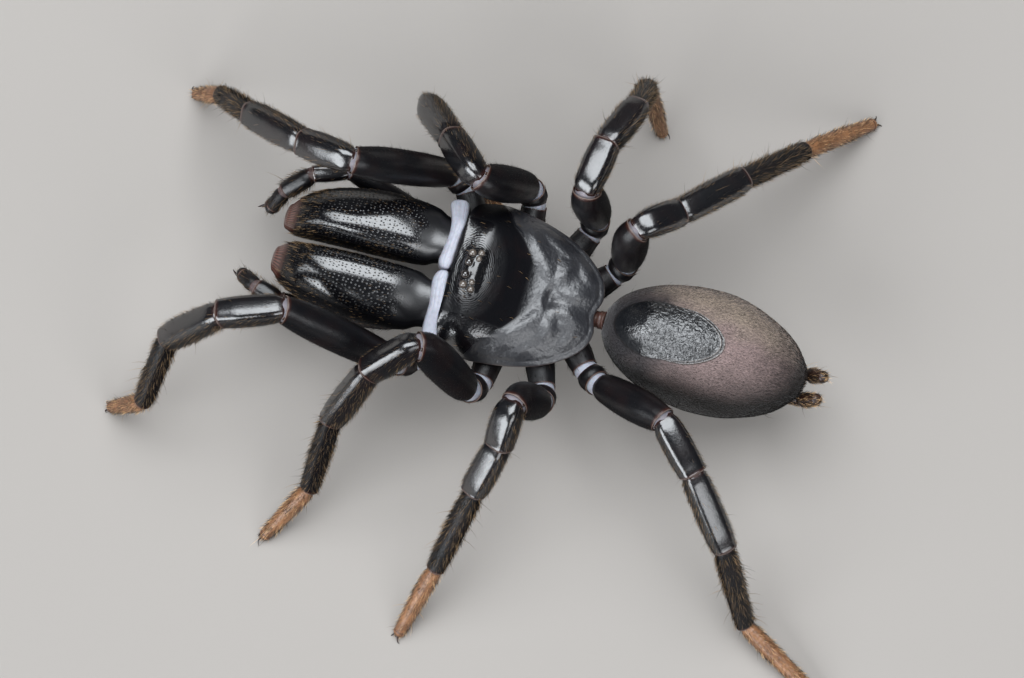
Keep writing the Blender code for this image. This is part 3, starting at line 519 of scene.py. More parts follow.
def centre_line(joints, bend_radius, extra):
    """A limb's middle line with rounded bends: places, directions, how it bends, and where its joints lie."""
    joints = [Vector(joint) for joint in joints]
    runs = [end - start for start, end in zip(joints, joints[1:])]
    points, arcs, middles = [joints[0]], [], [0]
    for i in range(1, len(runs)):
        before, after = runs[i - 1].normalized(), runs[i].normalized()
        angle = before.angle(after)
        longest = BEND_SHARE * min(runs[i - 1].length, runs[i].length)
        reach = min(bend_radius * math.tan(angle / 2), longest)
        radius = reach / math.tan(angle / 2)
        axis = before.cross(after).normalized()
        centre = joints[i] + (after - before).normalized() * (radius / math.cos(angle / 2))
        start = joints[i] - before * reach
        arcs.append((len(points), len(points) + BEND_STEPS, centre))
        middles.append(len(points) + BEND_STEPS // 2)
        for step in range(BEND_STEPS + 1):
            points.append(centre + Matrix.Rotation(angle * step / BEND_STEPS, 3, axis) @ (start - centre))
    middles.append(len(points))
    points += [joints[-1], joints[-1] + runs[-1].normalized() * (extra + 0.01)]
    points = np.array(points)
    travelled = np.concatenate([[0], np.cumsum(np.linalg.norm(np.diff(points, axis=0), axis=1))])
    along = np.arange(0, travelled[-1], LINE_STEP)
    centre = np.stack([np.interp(along, travelled, points[:, axis]) for axis in range(3)], -1)
    way = soften(np.gradient(centre, axis=0), 3)
    way /= np.linalg.norm(way, axis=1, keepdims=True)
    bend = np.zeros_like(centre)
    for first, last, middle in arcs:
        inside = (along >= travelled[first]) & (along <= travelled[last])
        inward = np.array(middle) - centre[inside]
        bend[inside] = inward / (inward ** 2).sum(1, keepdims=True)
    side = np.empty_like(centre)
    carried = Vector(way[0]).cross(Vector((0, 0, 1))).normalized()
    for i, direction in enumerate(way):
        carried = (Vector(way[max(i - 1, 0)]).rotation_difference(Vector(direction)) @ carried).normalized()
        side[i] = carried
    return {
        "along": along, "centre": centre, "way": way, "side": side, "dorsal": np.cross(side, way),
        "bend": soften(bend, 5), "marks": travelled[middles],
    }


def around_limb(limb, along, angle, half_width, half_depth):
    """Points round a limb's middle line, from angle 0 on its upper side, pressed in inside a bend."""
    along, angle, half_width, half_depth = np.broadcast_arrays(along, angle, half_width, half_depth)

    def read(name):
        return np.stack([np.interp(along, limb["along"], limb[name][:, axis]) for axis in range(3)], -1)

    upward, sideways = half_depth * np.cos(angle), half_width * np.sin(angle)
    offset = read("dorsal") * upward[..., None] + read("side") * sideways[..., None]
    bend = read("bend")
    strength = np.maximum(np.linalg.norm(bend, axis=-1, keepdims=True), 1e-6)
    reach = (offset * bend / strength).sum(-1, keepdims=True)
    return read("centre") + offset - bend / strength * np.maximum(0, reach - PINCH / strength)


def limb_angles(columns=LIMB_COLUMNS):
    """Angles round a limb, from its underside round over its upper side."""
    return (-math.pi + math.tau * np.arange(columns) / columns)[None, :]


def upper_share(angle):
    """1 on the upper side of a limb, 0 on its underside, where the joints are closed."""
    return ((1 + np.cos(angle)) / 2) ** 1.3


def segment_reach(limb, index, gaps, angle):
    """Where a segment's chitin starts and ends along the limb, on each side of it."""
    marks = limb["marks"]
    before = gaps[index - 1] if index else 0.0
    after = gaps[index] if index < len(gaps) else 0.0
    share = upper_share(angle)
    return marks[index] + CUT / 4 + before * share, marks[index + 1] - CUT / 4 - after * share


def segment_radius(limb, index, kind, along):
    marks = limb["marks"]
    share = (along - marks[index]) / (marks[index + 1] - marks[index])
    return smooth_through(TAPER[kind], share)[0]


def add_segment(shells, limb, index, kind, gaps, colours, foot, seed):
    """The hard shell of one limb segment: a collar, a long body, and a rim turned in over the next joint."""
    gloss, density, length, long_density, stand, tint = SEGMENT_LOOKS[kind]
    half_width, half_depth = THICKNESS[kind]
    angle = limb_angles()
    start, end = segment_reach(limb, index, gaps, angle)
    count = max(14, int((end - start).max() / 0.055))
    share = np.linspace(0, 1, count)[:, None]
    share = 0.55 * share + 0.45 * (0.5 - 0.5 * np.cos(math.pi * share))
    along = start + (end - start) * share
    from_start, to_end = along - start, end - along
    factor = segment_radius(limb, index, kind, along)
    factor = factor * (0.90 + 0.10 * smooth_step(0.0, 0.16, from_start))
    if not foot:
        factor = factor * (1 + 0.045 * np.exp(-(to_end / 0.035) ** 2))
    edge = np.maximum(np.exp(-(to_end / 0.030) ** 2), 0.45 * np.exp(-(from_start / 0.05) ** 2))
    bare = smooth_step(0.0, 0.05, from_start) * smooth_step(0.01, 0.05, to_end)

    opening = [(start - 0.035, 0.55), (start - 0.015, 0.82)]
    blocks = [(row, factor[:1] * scale, np.full_like(row, 0.6)) for row, scale in opening]
    blocks.append((along, factor, edge))
    if foot:
        rounding = np.linspace(0.15, 0.97, 6)[:, None]
        tip_share = FOOT_RADIUS / half_width
        blend = np.sqrt(1 - rounding ** 2)
        row = end + FOOT_RADIUS * rounding
        blocks.append((row, tip_share * blend + 0 * angle, np.zeros_like(row)))
    else:
        closing = [(end + 0.002, 0.965), (end - 0.015, 0.90), (end - 0.08, 0.84)]
        blocks += [(row, factor[-1:] * scale, np.full_like(row, 0.8)) for row, scale in closing]
    along_all = np.concatenate([row for row, _, _ in blocks])
    factor_all = np.concatenate([scale for _, scale, _ in blocks])
    edge_all = np.concatenate([value for _, _, value in blocks])
    flatness = FLATNESS * smooth_step(0.5, 0.9, gloss) * smooth_step(-0.1, 0.2, np.cos(angle))
    across = half_width * factor_all * np.maximum(np.abs(np.sin(angle)), 1e-6) ** -flatness
    upward = half_depth * factor_all * np.maximum(np.abs(np.cos(angle)), 1e-6) ** -flatness
    rows = around_limb(limb, along_all, angle, across, upward)
    rows = rows + 0.006 * ripple(rows, 0.5, seed)[..., None] * (rows - rows.mean(1, keepdims=True))
    rows[..., 2] = np.maximum(rows[..., 2], 0.0)

    inner = len(opening)
    mask = np.zeros(rows.shape[:2])
    mask[inner:inner + len(along)] = bare
    if foot:
        mask[inner + len(along):] = 1.0
    top = np.exp(-(angle / 0.62) ** 4)
    shine = 0.25 + 0.75 * smooth_step(0.6, 0.9, gloss)
    polish = shine * (0.10 + 0.90 * smooth_step(0.12, 0.62, np.cos(angle)))
    thin_top = 0.2 + 0.78 * smooth_step(0.2, 0.7, gloss)
    fraction = (index + np.array([0.03, 0.97])) / len(limb["marks"])
    shells.add(
        rows, area=(fraction[0], 0.02, fraction[1], 0.98),
        edge=edge_all, gloss=gloss, dull=1 - polish, tint=np.array(getattr(colours, tint)),
        bristle_density=density * mask * (1 - thin_top * top),
        bristle_length=length * (0.9 + 0.25 * ripple(rows, 0.6, seed + 3)),
        long_density=long_density * mask, long_length=2.6 * length, stand=stand,
    )


def add_sleeve(shells, limb, index, kinds, gaps):
    """The soft skin that shows between two segments, bulging on the upper side."""
    angle = limb_angles()
    begin = segment_reach(limb, index - 1, gaps, angle)[1] - 0.06
    end = segment_reach(limb, index, gaps, angle)[0] + 0.04
    share = np.linspace(0, 1, SLEEVE_ROWS)[:, None]
    along = begin + (end - begin) * share
    before, after = kinds[index - 1], kinds[index]
    sizes = []
    for axis in (0, 1):
        first = THICKNESS[before][axis] * segment_radius(limb, index - 1, before, begin) * 0.86
        last = THICKNESS[after][axis] * segment_radius(limb, index, after, end) * 0.88
        bulge = 0.05 * np.sin(math.pi * share) * (first + last) / 2 * (0.3 + 0.9 * upper_share(angle))
        sizes.append(first + (last - first) * share + bulge)
    rows = around_limb(limb, along, angle, *sizes)
    fraction = (index + np.array([0.03, 0.97])) / len(limb["marks"])
    area = (fraction[0], 0.02, fraction[1], 0.98)
    shells.add(rows, area=area, fold=share, pale=JOINT_PALENESS[index - 1])


def tube_rows(points, radii, wide):
    """Rows of a tapered tube through points."""
    points = np.array(points, float)
    way = np.gradient(points, axis=0)
    way /= np.linalg.norm(way, axis=1, keepdims=True)
    angle = np.linspace(0, math.tau, wide, endpoint=False)[:, None]
    helper = Vector((0, 0, 1)) if abs(way[0][2]) < 0.9 else Vector((0, 1, 0))
    side = Vector(way[0]).cross(helper).normalized()
    rows = []
    for i, (point, radius) in enumerate(zip(points, radii)):
        side = (Vector(way[max(i - 1, 0)]).rotation_difference(Vector(way[i])) @ side).normalized()
        up = np.cross(way[i], side)
        rows.append(point + radius * (np.cos(angle) * np.array(side) + np.sin(angle) * up))
    return np.array(rows)


def heading(side, turn, rise):
    turn, rise = math.radians(turn), math.radians(rise)
    return Vector((
        -math.cos(rise) * math.cos(turn),
        SIGN[side] * math.cos(rise) * math.sin(turn),
        math.sin(rise),
    ))


def leg_joints(side, number):
    """The places of a leg's joints, from the coxa's root beside the sternum to the foot's tip on the ground."""
    aim = Vector((COXA_AIMS[number], 0.0, COXA_HEIGHT - 0.08))
    end = Vector((COXA_ENDS[number][0], SIGN[side] * COXA_ENDS[number][1], COXA_HEIGHT))
    share = 0.0
    while True:
        point = aim.lerp(end, share)
        across = (point.x - STERNUM_CENTRE) / (STERNUM_HALF[0] + CUT)
        along = point.y / (STERNUM_HALF[1] + CUT)
        if across ** 2 + along ** 2 > 1.0:
            break
        share += 0.01
    root = aim.lerp(end, share + 0.05)
    place = end
    joints = [root, place]
    halfway = (place - root).normalized() + heading(side, *POSE[side, number][0])
    place = place + halfway.normalized() * LEG_LENGTHS[number][0]
    joints.append(place)
    for name, length, (turn, rise) in zip(LEG_SEGMENTS[2:], LEG_LENGTHS[number][1:], POSE[side, number]):
        if name == "tarsus":
            fall = math.degrees(math.asin((place.z - FOOT_HEIGHT) / length))
            rise = -180 + fall if rise < -90 else -fall
        place = place + heading(side, turn, rise) * length
        joints.append(place)
    return joints


def closed_outline(half, per_span):
    """A smooth closed curve through a half outline and its mirror image."""
    points = np.array(list(half) + [(x, -y) for x, y in reversed(half[1:-1])])
    share = (np.arange(per_span) / per_span)[None, :, None]
    before, start, end, after = (np.roll(points, -step, axis=0)[:, None] for step in (-1, 0, 1, 2))
    curve = (
        2 * start + (end - before) * share + (2 * before - 5 * start + 4 * end - after) * share ** 2
        + (3 * start - before - 3 * end + after) * share ** 3
    ) / 2
    return curve.reshape(-1, 2)


def head_half_width(x):
    narrowing = smooth_step(FURROW_START[0], FOVEA[0], x)
    flare = 0.6 * smooth_step(-0.60, -1.15, x)
    return FURROW_START[1] + (CAPUT_REAR_HALF - FURROW_START[1]) * narrowing + flare


def head_share(x, y, rear):
    """1 on the head and 0 on the thorax; rear is where the head begins to count, from behind."""
    return smooth_step(0.02, 0.22, head_half_width(x) - np.abs(y)) * smooth_step(rear, FOVEA[0] - 0.75, x)


def outline_rings(outline, levels):
    """Rows of the carapace's outline, each drawn in or out round its middle and set at its own level."""
    middle = np.array(CARAPACE_MIDDLE)
    return np.array([
        np.column_stack([middle + (outline - middle) * share, np.full(len(outline), level)])
        for share, level in levels
    ])


def carapace_height(x, y, reach):
    """Height of the carapace's upper face; reach runs from 0 at its middle to 1 at its rim."""
    front = smooth_step(0.9, -1.2, x)
    rise_of_edge = 1 - reach ** (3.0 + 5.0 * front)
    inside = smooth_step(-FURROW_HALF_WIDTH, FURROW_HALF_WIDTH, head_half_width(x) - np.abs(y))
    inside = inside * smooth_step(FOVEA[0] + 0.25, FOVEA[0] - 0.55, x)
    crown = CAPUT_RISE * (1 - CROWN_DROP * smooth_step(*CROWN_SPAN, x))
    crown = crown * (1 - CROWN_ROUNDING * (y / FURROW_START[1]) ** 2)
    rise = THORAX_RISE + (crown - THORAX_RISE) * inside
    clypeus = CLYPEUS_RISE * smooth_step(*CLYPEUS_SPAN, x)
    pit = FOVEA_DEPTH * np.exp(-((x - FOVEA[0]) ** 2 + (y - FOVEA[1]) ** 2) / 0.03)
    mound = EYE_MOUND_RISE * np.exp(-((x - EYE_MOUND[0]) / 0.24) ** 4 - ((y - EYE_MOUND[1]) / 0.50) ** 4)
    return CARAPACE_RIM + clypeus + (rise - clypeus) * rise_of_edge - pit + mound


def carapace_relief(x, y, reach):
    """Swellings of the thorax, the fovea's pit, the tubercle of the middle eyes and the bead along the rim."""
    aside = np.abs(y)
    swell = np.zeros_like(x)
    for lobe_x, lobe_y, turn, long, wide, height in THORAX_LOBES:
        turn = math.radians(turn)
        run = (x - lobe_x) * math.cos(turn) + (aside - lobe_y) * math.sin(turn)
        off = (aside - lobe_y) * math.cos(turn) - (x - lobe_x) * math.sin(turn)
        swell = np.maximum(swell, height * np.exp(-np.abs(run / long) ** 3 - (off / wide) ** 2))
    inner = smooth_step(1.0, 0.85, reach)
    place, long, wide, deep = FOVEA_PIT
    pit = deep * np.exp(-((x - place) / long) ** 2 - (y / wide) ** 2)
    place, long, wide, high = TUBERCLE
    tubercle = high * np.exp(-np.abs((x - place) / long) ** 3 - np.abs(y / wide) ** 3)
    thorax = smooth_step(-0.9, -0.2, x)
    return inner * swell - pit + tubercle - 0.02 * thorax * np.exp(-((reach - 0.945) / 0.02) ** 2)


def abdomen_top(x, y):
    """Height of the abdomen's upper face."""
    half_width, top, bottom = smooth_through(ABDOMEN_STATIONS, x - ABDOMEN_FRONT)
    share = np.minimum(0.98, np.abs(y) / half_width)
    return (top + bottom) / 2 + (top - bottom) / 2 * np.sqrt(1 - share * share)


def scutum_edge(angle):
    """The scutum's outline round its centre: round in front, slightly waisted, and narrower behind."""
    x = np.cos(angle)
    waist = 1 - 0.10 * np.exp(-((x - 0.05) / 0.30) ** 2) - 0.10 * smooth_step(0.1, 1.0, x)
    return np.stack([SCUTUM_HALF[0] * x, SCUTUM_HALF[1] * waist * np.sin(angle)], -1)


def tinted(skin, colour, share):
    """The colours of a skin, drawn towards another colour by a share at each point."""
    return skin + (np.array(colour) - skin) * share[..., None]


def squared(value, power):
    """A sine or cosine with its size raised to a power below 1, which squares a round section."""
    return np.sign(value) * np.abs(value) ** power


def chelicera_centre(side, along):
    share = along / CHELICERA_STATIONS[-1][0]
    spread = smooth_through(CHELICERA_STATIONS, along)[3]
    drift = CHELICERA_DRIFT[0] + (CHELICERA_DRIFT[1] - CHELICERA_DRIFT[0]) * share
    return np.stack([CHELICERA_ROOT_X - along, SIGN[side] * spread + drift, 0 * along], -1)


def add(tree, kind, inputs=None, **settings):
    """Adds a node. An input takes a value, a socket, or a node, which stands for its first output."""
    node = tree.nodes.new(kind)
    for name, value in settings.items():
        setattr(node, name, value)
    for name, value in (inputs or {}).items():
        end = node.inputs[name]
        if isinstance(value, bpy.types.Node):
            value = value.outputs[0]
        if isinstance(value, bpy.types.NodeSocket):
            tree.links.new(value, end)
        elif end.type == "RGBA":
            end.default_value = (*value, 1.0)
        else:
            end.default_value = value
    return node


def start_material(name, roughness, ior=CHITIN_IOR, **values):
    """A new material and its tree, with the values that are the same all over it set on the shader."""
    made = bpy.data.materials.new(name)
    made.use_nodes = True
    for label, value in {"Roughness": roughness, "IOR": ior, **values}.items():
        made.node_tree.nodes[SHADER].inputs[label.replace("_", " ")].default_value = value
    return made, made.node_tree


def layered(tree, colour, *layers):
    """A colour with others laid over it one by one, each as strong as its factor."""
    for factor, over in layers:
        inputs = {MIX_FACTOR: factor, MIX_UNDER: colour, MIX_OVER: over}
        colour = add(tree, "ShaderNodeMix", inputs, data_type="RGBA").outputs[MIX_RESULT]
    return colour


def set_polish(made, roughness):
    """Leads in the roughness, with less gloss where the dull attribute says that grain takes it."""
    tree, shader = made.node_tree, made.node_tree.nodes[SHADER]
    dull = add(tree, "ShaderNodeAttribute", attribute_name="dull").outputs["Fac"]
    gloss = add(tree, "ShaderNodeMapRange", {"Value": dull, "To Min": 1.0, "To Max": 0.03})
    tree.links.new(gloss.outputs[0], shader.inputs["Specular IOR Level"])
    matte = add(tree, "ShaderNodeMapRange", {"Value": dull, "From Min": 0.78, "To Max": 0.35})
    rough = add(tree, "ShaderNodeMath", {0: roughness, 1: matte}, operation="ADD")
    tree.links.new(rough.outputs[0], shader.inputs["Roughness"])


def finish_material(made, colour, height=None, strength=0.0, depth=0.0):
    """The material with its colour led in and, from a height, a relief as deep as said in millimetres."""
    tree, shader = made.node_tree, made.node_tree.nodes[SHADER]
    tree.links.new(colour, shader.inputs["Base Color"])
    if height is not None:
        relief = add(tree, "ShaderNodeBump", {"Strength": strength, "Distance": depth * MM, "Height": height})
        tree.links.new(relief.outputs[0], shader.inputs["Normal"])
    return made


def black_chitin(colours, sizes):
    """Tanned chitin of the legs: black with a brown cast and fine grain, glossy knees, brown and pale rims."""
    made, tree = start_material("black_leg_chitin", 0.35)
    where = add(tree, "ShaderNodeTexCoord").outputs["Object"]
    grain = add(tree, "ShaderNodeTexNoise", {"Vector": where, "Scale": 1 / sizes.grain, "Detail": 4.0})
    cloud = add(tree, "ShaderNodeTexNoise", {"Vector": where, "Scale": 1 / (0.6 * MM), "Detail": 3.0})
    edge = add(tree, "ShaderNodeAttribute", attribute_name="edge").outputs["Fac"]
    gloss = add(tree, "ShaderNodeAttribute", attribute_name="gloss").outputs["Fac"]
    cast = add(tree, "ShaderNodeMapRange", {"Value": cloud, "From Min": 0.42, "From Max": 0.75, "To Max": 0.12})
    near = add(tree, "ShaderNodeMapRange", {"Value": edge, "From Min": 0.10, "From Max": 0.55, "To Max": 0.8})
    lip = add(tree, "ShaderNodeMapRange", {"Value": edge, "From Min": 0.72, "From Max": 0.95, "To Max": 0.75})
    brown = colours.joint_brown
    skin = layered(tree, colours.chitin, (cast, brown), (near, brown), (lip, colours.rim))
    satin = add(tree, "ShaderNodeMapRange", {"Value": gloss, "To Min": 0.48, "To Max": 0.12})
    varied = add(tree, "ShaderNodeMath", {0: grain, 1: 0.16, 2: satin}, operation="MULTIPLY_ADD")
    set_polish(made, varied)
    strength = add(tree, "ShaderNodeMapRange", {"Value": gloss, "To Min": 0.75, "To Max": 0.25})
    return finish_material(made, skin, grain, strength, 0.010)


def tarsus_chitin(colours, sizes):
    """Thin, little tanned chitin of the feet: orange-brown in clouds, satin, with faint cross ridges."""
    made, tree = start_material("orange_tarsus_chitin", 0.42)
    where = add(tree, "ShaderNodeTexCoord").outputs["Object"]
    unwrap = add(tree, "ShaderNodeUVMap", uv_map="OFBake")
    cloud = add(tree, "ShaderNodeTexNoise", {"Vector": where, "Scale": 1 / (0.25 * MM), "Detail": 4.0})
    grain = add(tree, "ShaderNodeTexNoise", {"Vector": where, "Scale": 1 / sizes.grain, "Detail": 3.0})
    ridges = add(
        tree, "ShaderNodeTexWave", {"Vector": unwrap, "Scale": 9.0, "Distortion": 1.5, "Detail": 2.0},
        bands_direction="Y"
    )
    edge = add(tree, "ShaderNodeAttribute", attribute_name="edge").outputs["Fac"]
    spots = add(tree, "ShaderNodeMapRange", {"Value": cloud, "From Min": 0.35, "From Max": 0.7, "To Max": 0.55})
    near = add(tree, "ShaderNodeMapRange", {"Value": edge, "From Min": 0.2, "From Max": 0.6, "To Max": 0.7})
    skin = layered(tree, colours.tarsus, (spots, colours.joint_brown), (near, colours.joint_brown))
    both = add(tree, "ShaderNodeMath", {0: ridges.outputs["Fac"], 1: 0.5, 2: grain}, operation="MULTIPLY_ADD")
    return finish_material(made, skin, both, 0.6, 0.010)


def joint_membrane(name, colours):
    """Soft untanned cuticle: pale, satin, a little translucent, drawn into fine folds across the joint."""
    made, tree = start_material(name, 0.34, ior=1.42, Subsurface_Weight=0.12, Subsurface_Scale=0.15 * MM)
    where = add(tree, "ShaderNodeTexCoord").outputs["Object"]
    fold = add(tree, "ShaderNodeAttribute", attribute_name="fold").outputs["Fac"]
    pale = add(tree, "ShaderNodeAttribute", attribute_name="pale").outputs["Fac"]
    cloud = add(tree, "ShaderNodeTexNoise", {"Vector": where, "Scale": 1 / (0.12 * MM), "Detail": 4.0})
    lines = add(tree, "ShaderNodeMath", {0: fold, 1: 56.0, 2: cloud}, operation="MULTIPLY_ADD")
    wave = add(tree, "ShaderNodeMath", {0: lines}, operation="SINE")
    edge = add(tree, "ShaderNodeMath", {0: fold, 1: 0.5}, operation="SUBTRACT")
    outer = add(tree, "ShaderNodeMath", {0: edge}, operation="ABSOLUTE")
    brown = add(tree, "ShaderNodeMapRange", {"Value": outer, "From Min": 0.38, "From Max": 0.5, "To Max": 0.55})
    dark = add(tree, "ShaderNodeMath", {0: 1.0, 1: pale}, operation="SUBTRACT")
    both = add(tree, "ShaderNodeMath", {0: brown, 1: dark}, operation="MAXIMUM")
    spots = add(tree, "ShaderNodeMapRange", {"Value": cloud, "From Min": 0.45, "From Max": 0.8, "To Max": 0.25})
    skin = layered(tree, colours.membrane, (both, colours.pleura), (spots, colours.joint_brown))
    height = add(tree, "ShaderNodeMath", {0: wave, 1: 0.45, 2: cloud}, operation="MULTIPLY_ADD")
    return finish_material(made, skin, height, 0.5, 0.012)


def jaw_chitin(colours, sizes):
    """Thick polished chitin of the chelicerae: black, pitted but at the root, ribbed and brown at the tip."""
    made, tree = start_material("polished_pitted_jaw_chitin", 0.16)
    where = add(tree, "ShaderNodeTexCoord").outputs["Object"]
    unwrap = add(tree, "ShaderNodeUVMap", uv_map="OFBake")
    girth, run = JAW_GIRTH * MM / sizes.pit_spacing, JAW_LENGTH * MM / sizes.pit_spacing
    spread = add(tree, "ShaderNodeMapping", {"Vector": unwrap, "Scale": (girth, run, 1.0)})
    cells = add(
        tree, "ShaderNodeTexVoronoi", {"Vector": spread, "Scale": 1.0, "Randomness": 0.55},
        voronoi_dimensions="2D"
    )
    pitted = add(tree, "ShaderNodeAttribute", attribute_name="pitted").outputs["Fac"]
    tip = add(tree, "ShaderNodeAttribute", attribute_name="tip").outputs["Fac"]
    hole = add(
        tree, "ShaderNodeMapRange",
        {"Value": cells.outputs["Distance"], "From Min": 0.09, "From Max": 0.22, "To Min": 1.0, "To Max": 0.0}
    )
    pit = add(tree, "ShaderNodeMath", {0: hole, 1: pitted}, operation="MULTIPLY")
    grain = add(tree, "ShaderNodeTexNoise", {"Vector": where, "Scale": 1 / (0.03 * MM), "Detail": 3.0})
    ribs = add(
        tree, "ShaderNodeTexWave", {"Vector": unwrap, "Scale": 11.0, "Distortion": 0.6}, bands_direction="X"
    )
    ribbed = add(tree, "ShaderNodeMapRange", {"Value": ribs, "To Min": 0.15, "To Max": 1.5})
    striped = add(tree, "ShaderNodeVectorMath", {0: tuple(colours.jaw_tip), "Scale": ribbed}, operation="SCALE")
    capped = add(tree, "ShaderNodeMapRange", {"Value": tip, "From Min": 0.5, "From Max": 0.8})
    banded = add(tree, "ShaderNodeMapRange", {"Value": tip, "From Max": 0.4, "To Max": 0.9})
    # The pits are painted near-black: partly their own dark, partly painted shade in the hollows.
    skin = layered(tree, colours.chitin, (banded, colours.joint_brown), (capped, striped), (pit, PIT_SOCKET_AND_SHADE))
    satin = add(tree, "ShaderNodeMapRange", {"Value": pitted, "To Min": 0.27, "To Max": 0.11})
    rough = add(tree, "ShaderNodeMath", {0: pit, 1: 0.55, 2: satin}, operation="MULTIPLY_ADD")
    varied = add(tree, "ShaderNodeMath", {0: grain, 1: 0.10, 2: rough}, operation="MULTIPLY_ADD")
    set_polish(made, varied)
    dents = add(tree, "ShaderNodeMath", {0: pit, 1: -1.0}, operation="MULTIPLY")
    striae = add(tree, "ShaderNodeMath", {0: ribs.outputs["Fac"], 1: tip, 2: dents}, operation="MULTIPLY_ADD")
    coarse = add(tree, "ShaderNodeMapRange", {"Value": pitted, "To Min": 0.9, "To Max": 0.12})
    fine = add(tree, "ShaderNodeMath", {0: grain, 1: coarse, 2: striae}, operation="MULTIPLY_ADD")
    return finish_material(made, skin, fine, 0.8, 0.006)


def carapace_chitin(colours, sizes):
    """Chitin of the carapace: glossy black head with wrinkles that ring the eyes, leathery satin thorax whose
    grey is partly painted sheen.
    """
    made, tree = start_material("wrinkled_carapace_chitin", 0.25)
    where = add(tree, "ShaderNodeTexCoord").outputs["Object"]
    head = add(tree, "ShaderNodeAttribute", attribute_name="head").outputs["Fac"]
    from_eyes = add(tree, "ShaderNodeAttribute", attribute_name="from_eyes").outputs["Fac"]
    edge = add(tree, "ShaderNodeAttribute", attribute_name="edge").outputs["Fac"]
    bend = add(tree, "ShaderNodeTexNoise", {"Vector": where, "Scale": 1 / (0.6 * MM), "Detail": 3.0})
    rings = add(tree, "ShaderNodeMath", {0: bend, 1: 0.26, 2: from_eyes}, operation="MULTIPLY_ADD")
    pores = add(tree, "ShaderNodeTexNoise", {"Vector": where, "Scale": 1 / (0.12 * MM), "Detail": 1.0})
    shift = add(tree, "ShaderNodeMath", {0: pores, 1: 6.0}, operation="MULTIPLY")
    pace = math.tau * MM / sizes.wrinkle
    turns = add(tree, "ShaderNodeMath", {0: rings, 1: pace, 2: shift}, operation="MULTIPLY_ADD")
    wrinkles = add(tree, "ShaderNodeMath", {0: turns}, operation="SINE")
    near = add(
        tree, "ShaderNodeMapRange",
        {"Value": from_eyes, "From Min": 0.45, "From Max": 0.90, "To Min": 1.0, "To Max": 0.0}
    )
    around = add(tree, "ShaderNodeMapRange", {"Value": from_eyes, "From Min": 0.22, "From Max": 0.32})
    ringed = add(tree, "ShaderNodeMath", {0: wrinkles, 1: near}, operation="MULTIPLY")
    ringed = add(tree, "ShaderNodeMath", {0: ringed, 1: around}, operation="MULTIPLY")
    grains = add(tree, "ShaderNodeTexVoronoi", {"Vector": where, "Scale": 1 / (0.060 * MM), "Randomness": 1.0})
    leather = add(
        tree, "ShaderNodeTexNoise", {"Vector": where, "Scale": 1 / sizes.grain, "Detail": 5.0, "Roughness": 0.6}
    )
    cloud = add(tree, "ShaderNodeTexNoise", {"Vector": where, "Scale": 1 / (0.4 * MM), "Detail": 3.0})
    cast = add(tree, "ShaderNodeMapRange", {"Value": cloud, "From Min": 0.5, "From Max": 0.85, "To Max": 0.08})
    # The thorax colour is partly painted satin sheen.
    skin = layered(
        tree, colours.thorax, (head, colours.chitin), (cast, colours.joint_brown), (edge, colours.pleura)
    )
    satin = add(tree, "ShaderNodeMapRange", {"Value": head, "To Min": 0.34, "To Max": 0.12})
    varied = add(tree, "ShaderNodeMath", {0: leather, 1: 0.14, 2: satin}, operation="MULTIPLY_ADD")
    set_polish(made, varied)
    rough = add(tree, "ShaderNodeMath", {0: around, 1: 0.30}, operation="MULTIPLY")
    grainy = add(tree, "ShaderNodeMath", {0: grains.outputs["Distance"], 1: rough}, operation="MULTIPLY")
    summed = add(tree, "ShaderNodeMath", {0: ringed, 1: 0.24, 2: grainy}, operation="MULTIPLY_ADD")
    fine = add(tree, "ShaderNodeMapRange", {"Value": head, "To Min": 0.70, "To Max": 0.10})
    coarse = add(tree, "ShaderNodeMapRange", {"Value": head, "To Min": 2.0, "To Max": 0.15})
    pebbled = add(tree, "ShaderNodeMath", {0: pores, 1: coarse, 2: summed}, operation="MULTIPLY_ADD")
    height = add(tree, "ShaderNodeMath", {0: leather, 1: fine, 2: pebbled}, operation="MULTIPLY_ADD")
    return finish_material(made, skin, height, 0.7, 0.012)


def scutum_chitin(colours):
    """Thin plate on the abdomen: smooth in front, finely wrinkled and shiny behind, pale at its rim."""
    made, tree = start_material("wrinkled_scutum_chitin", 0.25)
    where = add(tree, "ShaderNodeTexCoord").outputs["Object"]
    edge = add(tree, "ShaderNodeAttribute", attribute_name="edge").outputs["Fac"]
    rear = add(tree, "ShaderNodeAttribute", attribute_name="rear").outputs["Fac"]
    wrinkle = add(
        tree, "ShaderNodeTexNoise",
        {"Vector": where, "Scale": 1 / (0.090 * MM), "Detail": 1.5, "Roughness": 0.55, "Distortion": 0.8}
    )
    grain = add(tree, "ShaderNodeTexNoise", {"Vector": where, "Scale": 1 / (0.03 * MM), "Detail": 3.0})
    skin = layered(tree, colours.scutum, (edge, colours.rim))
    satin = add(tree, "ShaderNodeMapRange", {"Value": rear, "To Min": 0.15, "To Max": 0.25})
    varied = add(tree, "ShaderNodeMath", {0: grain, 1: 0.12, 2: satin}, operation="MULTIPLY_ADD")
    set_polish(made, varied)
    amount = add(tree, "ShaderNodeMapRange", {"Value": rear, "To Min": 0.50, "To Max": 1.0})
    folds = add(tree, "ShaderNodeMath", {0: wrinkle, 1: amount}, operation="MULTIPLY")
    height = add(tree, "ShaderNodeMath", {0: grain, 1: 0.10, 2: folds}, operation="MULTIPLY_ADD")
    return finish_material(made, skin, height, 0.9, 0.050)


